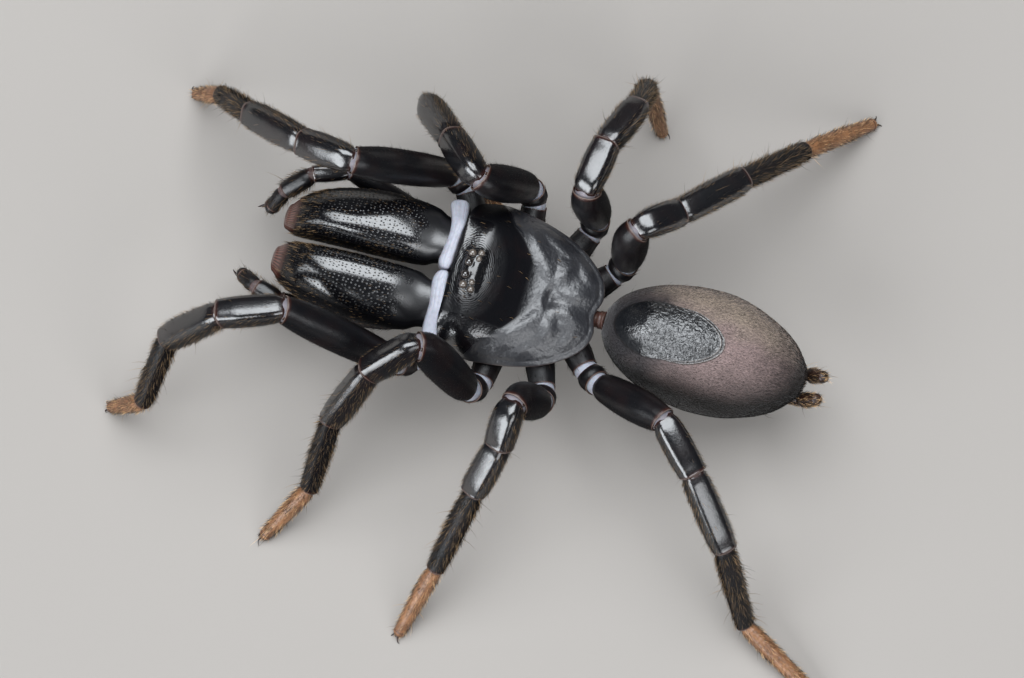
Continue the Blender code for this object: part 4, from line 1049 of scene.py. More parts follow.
def abdomen_skin():
    """Leathery skin of the abdomen: mauve to near-black, with painted light and shade in its tint, matte,
    pricked by the roots of its hairs.
    """
    made, tree = start_material(
        "velvety_abdomen_skin", 0.62, ior=1.45, Sheen_Weight=0.25, Sheen_Roughness=0.5
    )
    where = add(tree, "ShaderNodeTexCoord").outputs["Object"]
    tint = add(tree, "ShaderNodeAttribute", attribute_name="tint").outputs["Color"]
    roots = add(tree, "ShaderNodeTexVoronoi", {"Vector": where, "Scale": 1 / (0.05 * MM), "Randomness": 0.9})
    cloud = add(tree, "ShaderNodeTexNoise", {"Vector": where, "Scale": 1 / (0.5 * MM), "Detail": 4.0})
    shade = add(
        tree, "ShaderNodeMapRange",
        {"Value": roots.outputs["Distance"], "From Min": 0.05, "From Max": 0.6, "To Min": 0.62, "To Max": 1.08}
    )
    light = add(
        tree, "ShaderNodeMapRange",
        {"Value": cloud, "From Min": 0.3, "From Max": 0.7, "To Min": 0.86, "To Max": 1.12}
    )
    both = add(tree, "ShaderNodeMath", {0: shade, 1: light}, operation="MULTIPLY")
    skin = add(tree, "ShaderNodeVectorMath", {0: tint, "Scale": both}, operation="SCALE")
    return finish_material(made, skin.outputs[0], roots.outputs["Distance"], 0.8, 0.012)


def brown_plate(name, base, colours, sizes):
    """Lightly tanned chitin: satin, browner in clouds, with a fine leathery grain."""
    made, tree = start_material(name, 0.38)
    where = add(tree, "ShaderNodeTexCoord").outputs["Object"]
    cloud = add(tree, "ShaderNodeTexNoise", {"Vector": where, "Scale": 1 / (0.35 * MM), "Detail": 4.0})
    grain = add(tree, "ShaderNodeTexNoise", {"Vector": where, "Scale": 1 / sizes.grain, "Detail": 4.0})
    mottle = add(tree, "ShaderNodeMapRange", {"Value": cloud, "From Min": 0.35, "From Max": 0.7})
    return finish_material(made, layered(tree, base, (mottle, colours.joint_brown)), grain, 0.6, 0.010)


def fang_chitin(colours):
    """Hardest chitin, of fangs, claws and hinges: dark red-brown, polished, lengthwise streaks."""
    made, tree = start_material("polished_fang_chitin", 0.14, ior=1.58)
    where = add(tree, "ShaderNodeTexCoord").outputs["Object"]
    streak = add(tree, "ShaderNodeMapping", {"Vector": where, "Scale": (0.2, 1.0, 1.0)})
    cloud = add(tree, "ShaderNodeTexNoise", {"Vector": streak, "Scale": 1 / (0.06 * MM), "Detail": 3.0})
    mottle = add(tree, "ShaderNodeMapRange", {"Value": cloud, "From Min": 0.3, "From Max": 0.7})
    skin = layered(tree, colours.joint_brown, (mottle, colours.chitin))
    return finish_material(made, skin, cloud, 0.3, 0.004)


def eye_lens(name, base, colours):
    """Clear domed cornea over a dark or pearly cup, as one polished surface that darkens to its edge, with a
    painted highlight ring in the pale rim colour.
    """
    made, tree = start_material(name, 0.13, Specular_IOR_Level=1.0)
    where = add(tree, "ShaderNodeTexCoord").outputs["Object"]
    edge = add(tree, "ShaderNodeAttribute", attribute_name="edge").outputs["Fac"]
    ring = add(tree, "ShaderNodeAttribute", attribute_name="ring").outputs["Fac"]
    cloud = add(tree, "ShaderNodeTexNoise", {"Vector": where, "Scale": 1 / (0.05 * MM), "Detail": 2.0})
    glow = add(tree, "ShaderNodeMapRange", {"Value": cloud, "From Min": 0.3, "From Max": 0.7, "To Max": 0.4})
    dark = add(tree, "ShaderNodeMath", {0: edge, 1: glow}, operation="MAXIMUM")
    return finish_material(made, layered(tree, base, (dark, colours.eye_dark), (ring, colours.rim)))


def bristle_material(name, tint):
    """Hollow hairs of tanned chitin: coloured from the root, lighter at the tip, each its own shade."""
    made, tree = start_material(name, 0.38, ior=1.5, Specular_IOR_Level=0.3)
    tint = add(tree, "ShaderNodeAttribute", attribute_name=tint).outputs["Color"]
    shade = add(tree, "ShaderNodeAttribute", attribute_name="shade").outputs["Fac"]
    along = add(tree, "ShaderNodeAttribute", attribute_name="reach").outputs["Fac"]
    own = add(tree, "ShaderNodeMapRange", {"Value": shade, "From Min": 0.62, "To Min": 0.07, "To Max": 2.6})
    root = add(tree, "ShaderNodeMapRange", {"Value": along, "From Max": 0.6, "To Min": 0.55, "To Max": 1.1})
    both = add(tree, "ShaderNodeMath", {0: own, 1: root}, operation="MULTIPLY")
    skin = add(tree, "ShaderNodeVectorMath", {0: tint, "Scale": both}, operation="SCALE")
    return finish_material(made, skin.outputs[0])


def bristle_tree():
    """Geometry Nodes that grow tapered, bent bristles along the lie of a skin, as one real mesh."""
    tree = bpy.data.node_groups.new("bristle_coat", "GeometryNodeTree")
    for label, kind, value in (
        ("Skin", "NodeSocketGeometry", None),
        ("Density From", "NodeSocketString", "bristle_density"),
        ("Length From", "NodeSocketString", "bristle_length"),
        ("Amount", "NodeSocketFloat", 1.0),
        ("Lift", "NodeSocketFloat", 0.5),
        ("Spread", "NodeSocketFloat", 0.2),
        ("Bend", "NodeSocketFloat", 0.2),
        ("Thickness", "NodeSocketFloat", 0.045),
        ("Seed", "NodeSocketInt", 0),
        ("Finish", "NodeSocketMaterial", None),
    ):
        socket = tree.interface.new_socket(label, in_out="INPUT", socket_type=kind)
        if value is not None:
            socket.default_value = value
    tree.interface.new_socket("Coat", in_out="OUTPUT", socket_type="NodeSocketGeometry")
    given = add(tree, "NodeGroupInput").outputs

    known = add(tree, "GeometryNodeInputNamedAttribute", {"Name": given["Density From"]}, data_type="FLOAT")
    per_metre = add(tree, "ShaderNodeMath", {0: known, 1: MM ** -2}, operation="MULTIPLY")
    density = add(tree, "ShaderNodeMath", {0: per_metre, 1: given["Amount"]}, operation="MULTIPLY")
    scatter = add(
        tree, "GeometryNodeDistributePointsOnFaces",
        {"Mesh": given["Skin"], "Density": density, "Seed": given["Seed"]}, distribute_method="RANDOM"
    )
    normal = scatter.outputs["Normal"]
    place = add(tree, "GeometryNodeInputNamedAttribute", {"Name": "OFBake"}, data_type="FLOAT_VECTOR")
    rooted = add(
        tree, "GeometryNodeStoreNamedAttribute",
        {"Geometry": scatter.outputs["Points"], "Name": "root_place", "Value": place},
        data_type="FLOAT_VECTOR", domain="POINT"
    )
    chance = add(tree, "FunctionNodeRandomValue", {2: 0.0, 3: 1.0, "Seed": given["Seed"]}, data_type="FLOAT")
    shaded = add(
        tree, "GeometryNodeStoreNamedAttribute",
        {"Geometry": rooted, "Name": "shade", "Value": chance.outputs[1]}, data_type="FLOAT", domain="POINT"
    )

    lie = add(tree, "GeometryNodeInputNamedAttribute", {"Name": "lie"}, data_type="FLOAT_VECTOR")
    stand = add(tree, "GeometryNodeInputNamedAttribute", {"Name": "stand"}, data_type="FLOAT")
    lifted = add(tree, "ShaderNodeMath", {0: given["Lift"], 1: stand}, operation="ADD")
    cosine = add(tree, "ShaderNodeMath", {0: lifted}, operation="COSINE")
    sine = add(tree, "ShaderNodeMath", {0: lifted}, operation="SINE")
    forward = add(tree, "ShaderNodeVectorMath", {0: lie, "Scale": cosine}, operation="SCALE")
    outward = add(tree, "ShaderNodeVectorMath", {0: normal, "Scale": sine}, operation="SCALE")
    aimed = add(tree, "ShaderNodeVectorMath", {0: forward, 1: outward}, operation="ADD")
    loose = add(
        tree, "FunctionNodeRandomValue", {0: (-1.0, -1.0, -1.0), 1: (1.0, 1.0, 1.0), "Seed": given["Seed"]},
        data_type="FLOAT_VECTOR"
    )
    strayed = add(tree, "ShaderNodeVectorMath", {0: loose, "Scale": given["Spread"]}, operation="SCALE")
    way = add(tree, "ShaderNodeVectorMath", {0: aimed, 1: strayed}, operation="ADD")
    turn = add(
        tree, "FunctionNodeAxesToRotation", {"Primary Axis": way, "Secondary Axis": normal},
        primary_axis="Z", secondary_axis="X"
    )
    length = add(tree, "GeometryNodeInputNamedAttribute", {"Name": given["Length From"]}, data_type="FLOAT")
    varied = add(
        tree, "FunctionNodeRandomValue", {2: 0.65 * MM, 3: 1.2 * MM, "Seed": given["Seed"]}, data_type="FLOAT"
    )
    size = add(tree, "ShaderNodeMath", {0: length, 1: varied.outputs[1]}, operation="MULTIPLY")

    cone = add(
        tree, "GeometryNodeMeshCone",
        {
            "Vertices": 3, "Side Segments": 2, "Depth": 1.0,
            "Radius Top": 0.0, "Radius Bottom": given["Thickness"],
        },
        fill_type="NGON"
    )
    patched = add(
        tree, "GeometryNodeStoreNamedAttribute",
        {"Geometry": cone.outputs["Mesh"], "Name": "patch", "Value": cone.outputs["UV Map"]},
        data_type="FLOAT_VECTOR", domain="CORNER"
    )
    spot = add(tree, "GeometryNodeInputPosition")
    parts = add(tree, "ShaderNodeSeparateXYZ", {0: spot})
    marked = add(
        tree, "GeometryNodeStoreNamedAttribute",
        {"Geometry": patched, "Name": "reach", "Value": parts.outputs["Z"]}, data_type="FLOAT", domain="POINT"
    )
    square = add(tree, "ShaderNodeMath", {0: parts.outputs["Z"], 1: parts.outputs["Z"]}, operation="MULTIPLY")
    drop = add(tree, "ShaderNodeMath", {0: square, 1: given["Bend"]}, operation="MULTIPLY")
    down = add(tree, "ShaderNodeMath", {0: drop, 1: -1.0}, operation="MULTIPLY")
    offset = add(tree, "ShaderNodeCombineXYZ", {"X": down})
    bristle = add(tree, "GeometryNodeSetPosition", {"Geometry": marked, "Offset": offset})

    planted = add(
        tree, "GeometryNodeInstanceOnPoints",
        {"Points": shaded, "Instance": bristle, "Rotation": turn, "Scale": size}
    )
    real = add(tree, "GeometryNodeRealizeInstances", {"Geometry": planted})
    origin = add(tree, "GeometryNodeInputNamedAttribute", {"Name": "root_place"}, data_type="FLOAT_VECTOR")
    patch = add(tree, "GeometryNodeInputNamedAttribute", {"Name": "patch"}, data_type="FLOAT_VECTOR")
    small = add(tree, "ShaderNodeVectorMath", {0: patch, "Scale": 0.003}, operation="SCALE")
    spread = add(tree, "ShaderNodeVectorMath", {0: origin, 1: small}, operation="ADD")
    mapped = add(
        tree, "GeometryNodeStoreNamedAttribute", {"Geometry": real, "Name": "OFBake", "Value": spread},
        data_type="FLOAT2", domain="CORNER"
    )
    painted = add(tree, "GeometryNodeSetMaterial", {"Geometry": mapped, "Material": given["Finish"]})
    add(tree, "NodeGroupOutput", {"Coat": painted})


def grow(name, skin, slot, finish, **inputs):
    """Grows a coat of bristles on a skin, and makes it a plain mesh piece of its own."""
    grown = bpy.data.objects.new(name, skin.data)
    bpy.context.scene.collection.objects.link(grown)
    coat = grown.modifiers.new("coat", "NODES")
    coat.node_group = bpy.data.node_groups["bristle_coat"]
    sockets = {socket.name: socket.identifier for socket in coat.node_group.interface.items_tree}
    amount = bpy.context.scene.spider_sizes.bristle_amount
    for label, value in {**inputs, "Amount": amount, "Finish": finish}.items():
        coat[sockets[label.replace("_", " ")]] = value
    bpy.context.view_layer.update()
    evaluated = grown.evaluated_get(bpy.context.evaluated_depsgraph_get())
    data = bpy.data.meshes.new_from_object(evaluated)
    grown.modifiers.clear()
    data.name = name
    grown.data = data
    for label in GROWTH_VALUES:
        known = data.attributes.get(label)
        if known:
            data.attributes.remove(known)
    data.shade_smooth()
    dress(grown, slot)


class SPIDER_OT_stage(bpy.types.Operator):
    """Sets the photo's camera, a plain pale floor and soft studio light"""
    bl_idname = "spider.stage"
    bl_label = "Stage"

    def execute(self, context):
        colours = context.scene.spider_colours
        scene = context.scene
        # The camera leans back by the tilt from straight down, then rolls round its line of sight
        tilt, roll = math.radians(VIEW_TILT), math.radians(VIEW_ROLL)
        forward = Vector((0, math.sin(tilt), -math.cos(tilt)))
        level = Vector((1, 0, 0))
        upright = Vector((0, math.cos(tilt), math.sin(tilt)))
        right = level * math.cos(roll) + upright * math.sin(roll)
        up = upright * math.cos(roll) - level * math.sin(roll)
        target = Vector((np.array(VIEW_TARGET) + SHIFT) * MM)
        lens = bpy.data.cameras.new("photo_camera")
        lens.sensor_width = SENSOR
        lens.lens = SENSOR * VIEW_DISTANCE / (PHOTO_WIDTH * PIXEL)
        lens.clip_start, lens.clip_end = 0.01, 10.0
        camera = bpy.data.objects.new("photo_camera", lens)
        camera.matrix_world = Matrix.Translation(target - forward * VIEW_DISTANCE * MM) @ Matrix(
            (right, up, -forward)
        ).transposed().to_4x4()
        scene.collection.objects.link(camera)
        scene.camera = camera

        floor = bpy.data.meshes.new("floor")
        corners = [(x * FLOOR_HALF, y * FLOOR_HALF, 0) for x, y in ((-1, -1), (1, -1), (1, 1), (-1, 1))]
        floor.from_pydata(corners, [], [(0, 1, 2, 3)])
        stage = bpy.data.objects.new("studio_floor", floor)
        scene.collection.objects.link(stage)
        paint, tree = start_material("matte_floor_paint", 0.8, ior=1.4)
        where = add(tree, "ShaderNodeTexCoord").outputs["Object"]
        cloud = add(tree, "ShaderNodeTexNoise", {"Vector": where, "Scale": 60.0, "Detail": 2.0})
        tone = add(tree, "ShaderNodeMapRange", {"Value": cloud, "To Min": 0.97, "To Max": 1.03})
        colour = add(tree, "ShaderNodeVectorMath", {0: tuple(colours.floor), "Scale": tone}, operation="SCALE")
        floor.materials.append(finish_material(paint, colour.outputs[0]))

        for name, way, distance, (width, height), power, colour in SOFTBOXES:
            lamp = bpy.data.lights.new(name, "AREA")
            lamp.shape = "RECTANGLE"
            lamp.size, lamp.size_y = width * MM, height * MM
            lamp.energy = power
            lamp.color = colour
            holder = bpy.data.objects.new(name, lamp)
            direction = Vector(way).normalized()
            turn = (-direction).to_track_quat("-Z", "Y").to_matrix().to_4x4()
            holder.matrix_world = Matrix.Translation(target + direction * distance * MM) @ turn
            scene.collection.objects.link(holder)

        world = bpy.data.worlds.new("studio_air")
        world.use_nodes = True
        air = world.node_tree.nodes["Background"]
        air.inputs["Color"].default_value = AIR_COLOUR
        air.inputs["Strength"].default_value = AIR_STRENGTH
        scene.world = world
        scene.view_settings.view_transform = "Standard"
        return {"FINISHED"}


class SPIDER_OT_carapace(bpy.types.Operator):
    """Makes the carapace with its head, furrowed thorax and thin rim, and the soft skin under its edge"""
    bl_idname = "spider.carapace"
    bl_label = "Carapace"

    def execute(self, context):
        colours, sizes = context.scene.spider_colours, context.scene.spider_sizes
        outline = closed_outline(CARAPACE_OUTLINE, 9)
        middle = np.array(CARAPACE_MIDDLE)
        reach = np.concatenate([[1.0, 0.995, 0.985, 0.97], np.linspace(0.955, 0.07, 78)])
        flat = middle + (outline - middle)[None] * reach[:, None, None]
        x, y, spread = flat[..., 0], flat[..., 1], reach[:, None] + 0 * flat[..., 0]
        height = carapace_height(x, y, spread) + carapace_relief(x, y, spread)
        for eye_x, eye_y, radius in (MEDIAN_EYE, *SIDE_EYES):
            gap = np.hypot(x - eye_x, np.abs(y) - eye_y)
            height += 0.022 * np.exp(-((gap - 1.22 * radius) / 0.022) ** 2)
        upper = np.stack([x, y, height], -1)
        calm = head_share(x, y, FOVEA[0])
        upper[..., 2] += 0.008 * (1 - 0.7 * calm) * ripple(upper, 0.45, 5) * smooth_step(1.0, 0.9, spread)
        low = CARAPACE_UNDERSIDE
        lip = outline_rings(outline, ((0.90, low), (0.985, low + 0.01), (1.006, 2.60), (1.008, 2.64)))
        rows = np.concatenate([lip, upper])
        x, y = rows[..., 0], rows[..., 1]
        head = head_share(x, y, FOVEA[0] - 0.35)
        from_eyes = np.hypot((x - EYE_MOUND[0]) / 0.75, (y - EYE_MOUND[1]) / 1.15)
        flank = smooth_step(-1.00, -1.20, y) * smooth_step(-0.20, -0.50, x)
        fan = smooth_step(-1.05, -1.30, x) * smooth_step(0.0, 0.35, y) * smooth_step(1.35, 1.00, y)
        dull = 0.25 + 0.60 * smooth_step(0.38, 0.70, from_eyes) + 0.15 * smooth_step(0.80, 1.10, from_eyes)
        dull = dull * head * (1 - flank) * (1 - 0.9 * fan)
        edge = np.zeros(rows.shape[:2])
        edge[:len(lip)] = 0.8
        ahead = np.array([-1.0, 0.0, 0.15])
        above = np.arange(len(rows))[:, None] > CARAPACE_EDGE_ROWS
        shells = Shells()
        shells.add(
            rows, head=head, from_eyes=from_eyes, dull=dull, edge=edge, lie=ahead,
            tint=np.array(colours.bristle_gold), bristle_density=(9 * head + 5) * above, bristle_length=0.12,
        )
        finish = carapace_chitin(colours, sizes)
        shells.finish("carapace_shield", finish, "carapace_chitin", "carapace")

        levels = ((0.60, 1.80), (0.80, 2.05), (0.93, 2.36), (0.985, 2.48), (0.995, 2.545), (0.96, 2.60))
        rows = outline_rings(outline, levels)
        rows += 0.015 * ripple(rows, 0.35, 8)[..., None] * np.array([1.0, 1.0, 0.4])
        shells = Shells()
        shells.add(rows, fold=np.linspace(0, 1, len(rows))[:, None])
        shells.finish("pleural_skin", joint_membrane("soft_pleural_skin", colours), "joint_membrane")
        return {"FINISHED"}


class SPIDER_OT_eyes(bpy.types.Operator):
    """Makes the dark middle eyes and the three paler eyes of each side, sunk in their mound"""
    bl_idname = "spider.eyes"
    bl_label = "Eyes"

    def execute(self, context):
        colours = context.scene.spider_colours
        dark = eye_lens("dark_eye_cornea", colours.eye_dark, colours)
        pearl = eye_lens("pearly_eye_cornea", colours.eye_pearl, colours)
        for side in SIDES:
            for name, node, finish, group in (
                (f"middle_eye_{side}", f"eye_median_{side}", dark, (MEDIAN_EYE,)),
                (f"outer_eyes_{side}", f"eyes_{side}", pearl, SIDE_EYES),
            ):
                shells = Shells()
                for eye_x, eye_y, radius in group:
                    spot = np.array(eye_x), np.array(eye_y), np.array(0.55)
                    level = float(carapace_height(*spot) + carapace_relief(*spot))
                    centre = (eye_x, SIGN[side] * eye_y, level - 0.05 * radius)
                    half = (EYE_FULLNESS * radius,) * 3
                    rows = ball(centre, half, 22, 32)
                    lift = (rows[..., 2] - centre[2]) / half[2]
                    # A pale ring painted part way up each dome: a painted highlight.
                    ring = 0.8 * np.exp(-((lift - 0.34) / 0.12) ** 2)
                    shells.add(rows, edge=smooth_step(0.80, 0.42, lift), ring=ring, **ball_poles(centre, half))
                shells.finish(name, finish, "eye_lens", node)
        return {"FINISHED"}


def make_chelicera(side, chitin, colours):
    """One chelicera: a squared tube with its ridge drawn inwards, closed by a low dome."""
    share = np.linspace(0, 1, 84)
    first, last = CHELICERA_ROOT[0][0], CHELICERA_STATIONS[-1][0] - 0.02
    eased = 0.7 * share + 0.3 * (0.5 - 0.5 * np.cos(math.pi * share))
    along = (first + (last - first) * eased)[:, None]
    angle = limb_angles(80)
    along, angle = np.broadcast_arrays(along, angle)
    stations = (*CHELICERA_ROOT, *CHELICERA_STATIONS[1:])
    half_width, top, bottom, _ = smooth_through(stations, along)
    power = 1 - 0.13 * smooth_step(0.5, -0.3, np.cos(angle))
    across, upward = squared(np.sin(angle), power), squared(np.cos(angle), power)
    rows = chelicera_centre(side, along)
    ridge = CHELICERA_RIDGE_SHIFT * np.maximum(0, upward) ** 2
    rows[..., 1] += half_width * (across - SIGN[side] * ridge)
    rows[..., 2] += (top + bottom) / 2 + (top - bottom) / 2 * upward
    rounding = np.linspace(0.2, 0.98, 8)[:, None]
    rim, hub = rows[-1:], rows[-1:].mean(1, keepdims=True)
    dome = hub + (rim - hub) * np.sqrt(1 - rounding ** 2)[..., None]
    dome[..., 0] -= CHELICERA_DOME * rounding
    rows = np.concatenate([rows, dome])
    along = np.concatenate([along[:, :1], along[-1, 0] + CHELICERA_DOME * rounding])
    along, angle = np.broadcast_arrays(along, angle[:1])
    blotched = along + 0.15 * ripple(rows, 0.5, 2)
    pitted = smooth_step(0.30, 0.80, blotched) * smooth_step(3.36, 3.28, along)
    tip = smooth_step(3.26, 3.50, along) * (0.12 + 0.88 * smooth_step(-0.25, 0.35, np.cos(angle)))
    dull = np.maximum(smooth_step(0.78, 0.45, np.cos(angle)), 0.7 * smooth_step(2.2, 3.0, along))
    shells = Shells()
    shells.add(
        rows, pitted=pitted, tip=tip, dull=dull, tint=np.array(colours.bristle_gold),
        bristle_density=(110 + 160 * smooth_step(2.2, 3.2, along)) * pitted,
        bristle_length=0.075 + 0.05 * smooth_step(2.0, 3.2, along),
        long_density=26 * smooth_step(3.0, 3.2, along) * smooth_step(3.45, 3.3, along),
        long_length=0.20,
    )
    shells.finish(f"chelicera_segment_{side}", chitin, "chelicera_chitin", f"chelicera_{side}")


def make_fang(side, hard):
    """A fang folded back along the underside of its chelicera."""
    root = chelicera_centre(side, np.array(FANG_START))
    share = np.linspace(0, 1, 40)
    points = np.stack([
        root[0] + FANG_LENGTH * share,
        root[1] + SIGN[side] * FANG_SPLAY * share,
        FANG_HEIGHT - FANG_SAG * np.sin(math.pi * share) + FANG_LIFT * share,
    ], -1)
    radii = FANG_TIP_RADIUS + (FANG_RADIUS - FANG_TIP_RADIUS) * (1 - share) ** 0.8
    radii = radii * (0.6 + 0.4 * smooth_step(0.0, 0.08, share))
    shells = Shells()
    shells.add(tube_rows(points, radii, 24))
    shells.finish(f"folded_fang_{side}", hard, "fang_chitin", f"fang_{side}")


def make_fold(colours):
    """The pale fold of skin between the carapace and the chelicerae, one half a side."""
    shells = Shells()
    bottom, top = FOLD_HEIGHTS
    angle = limb_angles(40)
    for side in SIDES:
        edges = np.array(FOLD_EDGES[side])
        share = np.linspace(0, 1, 54)
        measured = np.hypot(np.diff(edges[:, 0]), np.diff(edges[:, 1]))
        travelled = np.concatenate([[0], np.cumsum(measured)])
        stations = np.column_stack([travelled / travelled[-1], edges])
        y, front, rear = smooth_through(stations, share)[..., None]
        half = (rear - front) / 2
        height = top + 0.05 - 0.20 * smooth_step(0.9, 1.8, np.abs(y)) - 0.10 * smooth_step(0.12, 0.05, half)
        upward, sideways = squared(np.cos(angle), 0.5), squared(np.sin(angle), 0.5)
        rows = np.stack(np.broadcast_arrays(
            (front + rear) / 2 + half * sideways,
            y, (height + bottom) / 2 + (height - bottom) / 2 * upward + 0.05 * sideways * (upward > 0),
        ), -1)
        rows = rows + 0.012 * ripple(rows, 0.35, 11)[..., None] * np.array([0.4, 0.0, 1.0])
        area = (0.0, 0.0, 0.48, 1.0) if side == "right" else (0.52, 0.0, 1.0, 1.0)
        shells.add(rows, area=area, fold=0.5 + 0.5 * np.sin(angle), pale=1.0)
    skin = joint_membrane("soft_joint_membrane", colours)
    shells.finish("pale_fold", skin, "joint_membrane", "cheliceral_membrane")


class SPIDER_OT_jaws(bpy.types.Operator):
    """Makes the two pitted chelicerae, the fangs folded under them and the pale fold behind them"""
    bl_idname = "spider.jaws"
    bl_label = "Chelicerae, fangs and fold"

    def execute(self, context):
        colours, sizes = context.scene.spider_colours, context.scene.spider_sizes
        chitin = jaw_chitin(colours, sizes)
        hard = fang_chitin(colours)
        for side in SIDES:
            make_chelicera(side, chitin, colours)
            make_fang(side, hard)
        make_fold(colours)
        return {"FINISHED"}


def add_condyles(shells, limb, index, kind):
    """The two small red-brown hinge knobs on the upper side of a knee."""
    place = limb["marks"][index]
    half_width, half_depth = THICKNESS[kind]
    radius = segment_radius(limb, index, kind, place)
    for angle in (-1.25, 1.25):
        centre = around_limb(limb, place, angle, half_width * radius * 0.90, half_depth * radius * 0.90)
        half = (0.05, 0.05, 0.045)
        shells.add(ball(centre, half, 8, 12), **ball_poles(centre, half))


def add_claws(shells, limb):
    """Two curved claws and a small one between them at the tip of a foot."""
    tip, way = limb["centre"][-1], limb["way"][-1]
    side, dorsal = limb["side"][-1], limb["dorsal"][-1]
    for spread, size in ((-0.5, 1.0), (0.5, 1.0), (0.0, 0.55)):
        share = np.linspace(0, 1, 9)[:, None]
        out = way + side * spread
        points = (
            tip - way * 0.06 + dorsal * 0.03 + side * spread * 0.09
            + size * (out * 0.20 * share + dorsal * 0.07 * np.sin(share * 2.2) - dorsal * 0.11 * share ** 2)
        )
        points[:, 2] = np.maximum(points[:, 2], 0.012)
        shells.add(tube_rows(points, size * (0.026 - 0.021 * share[:, 0]), 8))


def dress_limb(name, limb, kinds, gaps, colours, nodes, feet, seed):
    """All shells of a leg or palp: hard segments, soft sleeves and knee hinges, and its own foot piece."""
    hard, soft, foot = Shells(), Shells(), Shells()
    for index, kind in enumerate(kinds):
        last = index == len(kinds) - 1
        target = foot if last and feet else hard
        add_segment(target, limb, index, kind, gaps, colours, last, seed + index)
        if index:
            add_sleeve(soft, limb, index, kinds, gaps)
    knobs = Shells()
    add_condyles(knobs, limb, 3, kinds[3])
    made = bpy.data.materials
    if feet:
        add_claws(knobs, limb)
        foot.finish(f"{name}_foot", made["orange_tarsus_chitin"], "tarsus_chitin")
    hard.finish(f"{name}_segments", made["black_leg_chitin"], "leg_chitin", *nodes)
    soft.finish(f"{name}_sleeves", made["soft_joint_membrane"], "joint_membrane")
    knobs.finish(f"{name}_hinges_and_claws", made["polished_fang_chitin"], "fang_chitin")


class SPIDER_OT_legs(bpy.types.Operator):
    """Makes the eight legs of separate hard segments joined by soft sleeves"""
    bl_idname = "spider.legs"
    bl_label = "Legs"

    def execute(self, context):
        colours, sizes = context.scene.spider_colours, context.scene.spider_sizes
        black_chitin(colours, sizes)
        tarsus_chitin(colours, sizes)
        for side in SIDES:
            for number in LEG_LENGTHS:
                limb = centre_line(leg_joints(side, number), BEND_RADIUS, FOOT_RADIUS)
                nodes = [f"leg_{side}_{number}_{piece}" for piece in ("coxa", "femur", "tibia", "tarsus")]
                seed = 10 * number + (100 if side == "left" else 0)
                name = f"walking_leg_{side}_{number}"
                dress_limb(name, limb, LEG_SEGMENTS, JOINT_GAPS, colours, nodes, True, seed)
        return {"FINISHED"}


class SPIDER_OT_palps(bpy.types.Operator):
    """Makes the two pedipalps with the bulb and its thin spine under each tip"""
    bl_idname = "spider.palps"
    bl_label = "Pedipalps"

    def execute(self, context):
        colours = context.scene.spider_colours
        hard = bpy.data.materials["polished_fang_chitin"]
        for side in SIDES:
            limb = centre_line(PALP_JOINTS[side], PALP_BEND_RADIUS, PALP_TIP)
            nodes = [f"palp_{side}_{piece}" for piece in ("coxa", "femur", "tibia", "tarsus")]
            name, seed = f"pedipalp_{side}", PALP_SEEDS[side]
            dress_limb(name, limb, PALP_SEGMENTS, PALP_GAPS, colours, nodes, False, seed)
            tip, way = np.array(PALP_JOINTS[side][-1]), limb["way"][-1]
            ahead, inward, down = BULB_SHIFT
            centre = tip - way * BULB_BACK + np.array([ahead, SIGN[side] * inward, down])
            shells = Shells()
            half = (BULB_RADIUS, BULB_RADIUS * 0.92, BULB_RADIUS * 0.96)
            shells.add(ball(centre, half, 20, 28), **ball_poles(centre, half))
            share = np.linspace(0, 1, 16)
            spine = np.stack([
                centre[0] - 0.10 - 0.22 * share, centre[1] - SIGN[side] * 0.10 * share ** 2,
                centre[2] - 0.10 - 0.05 * np.sin(share * math.pi),
            ], -1)
            shells.add(tube_rows(spine, 0.05 * (1 - share) + 0.008, 12))
            shells.finish(f"palp_bulb_{side}", hard, "fang_chitin")
        return {"FINISHED"}


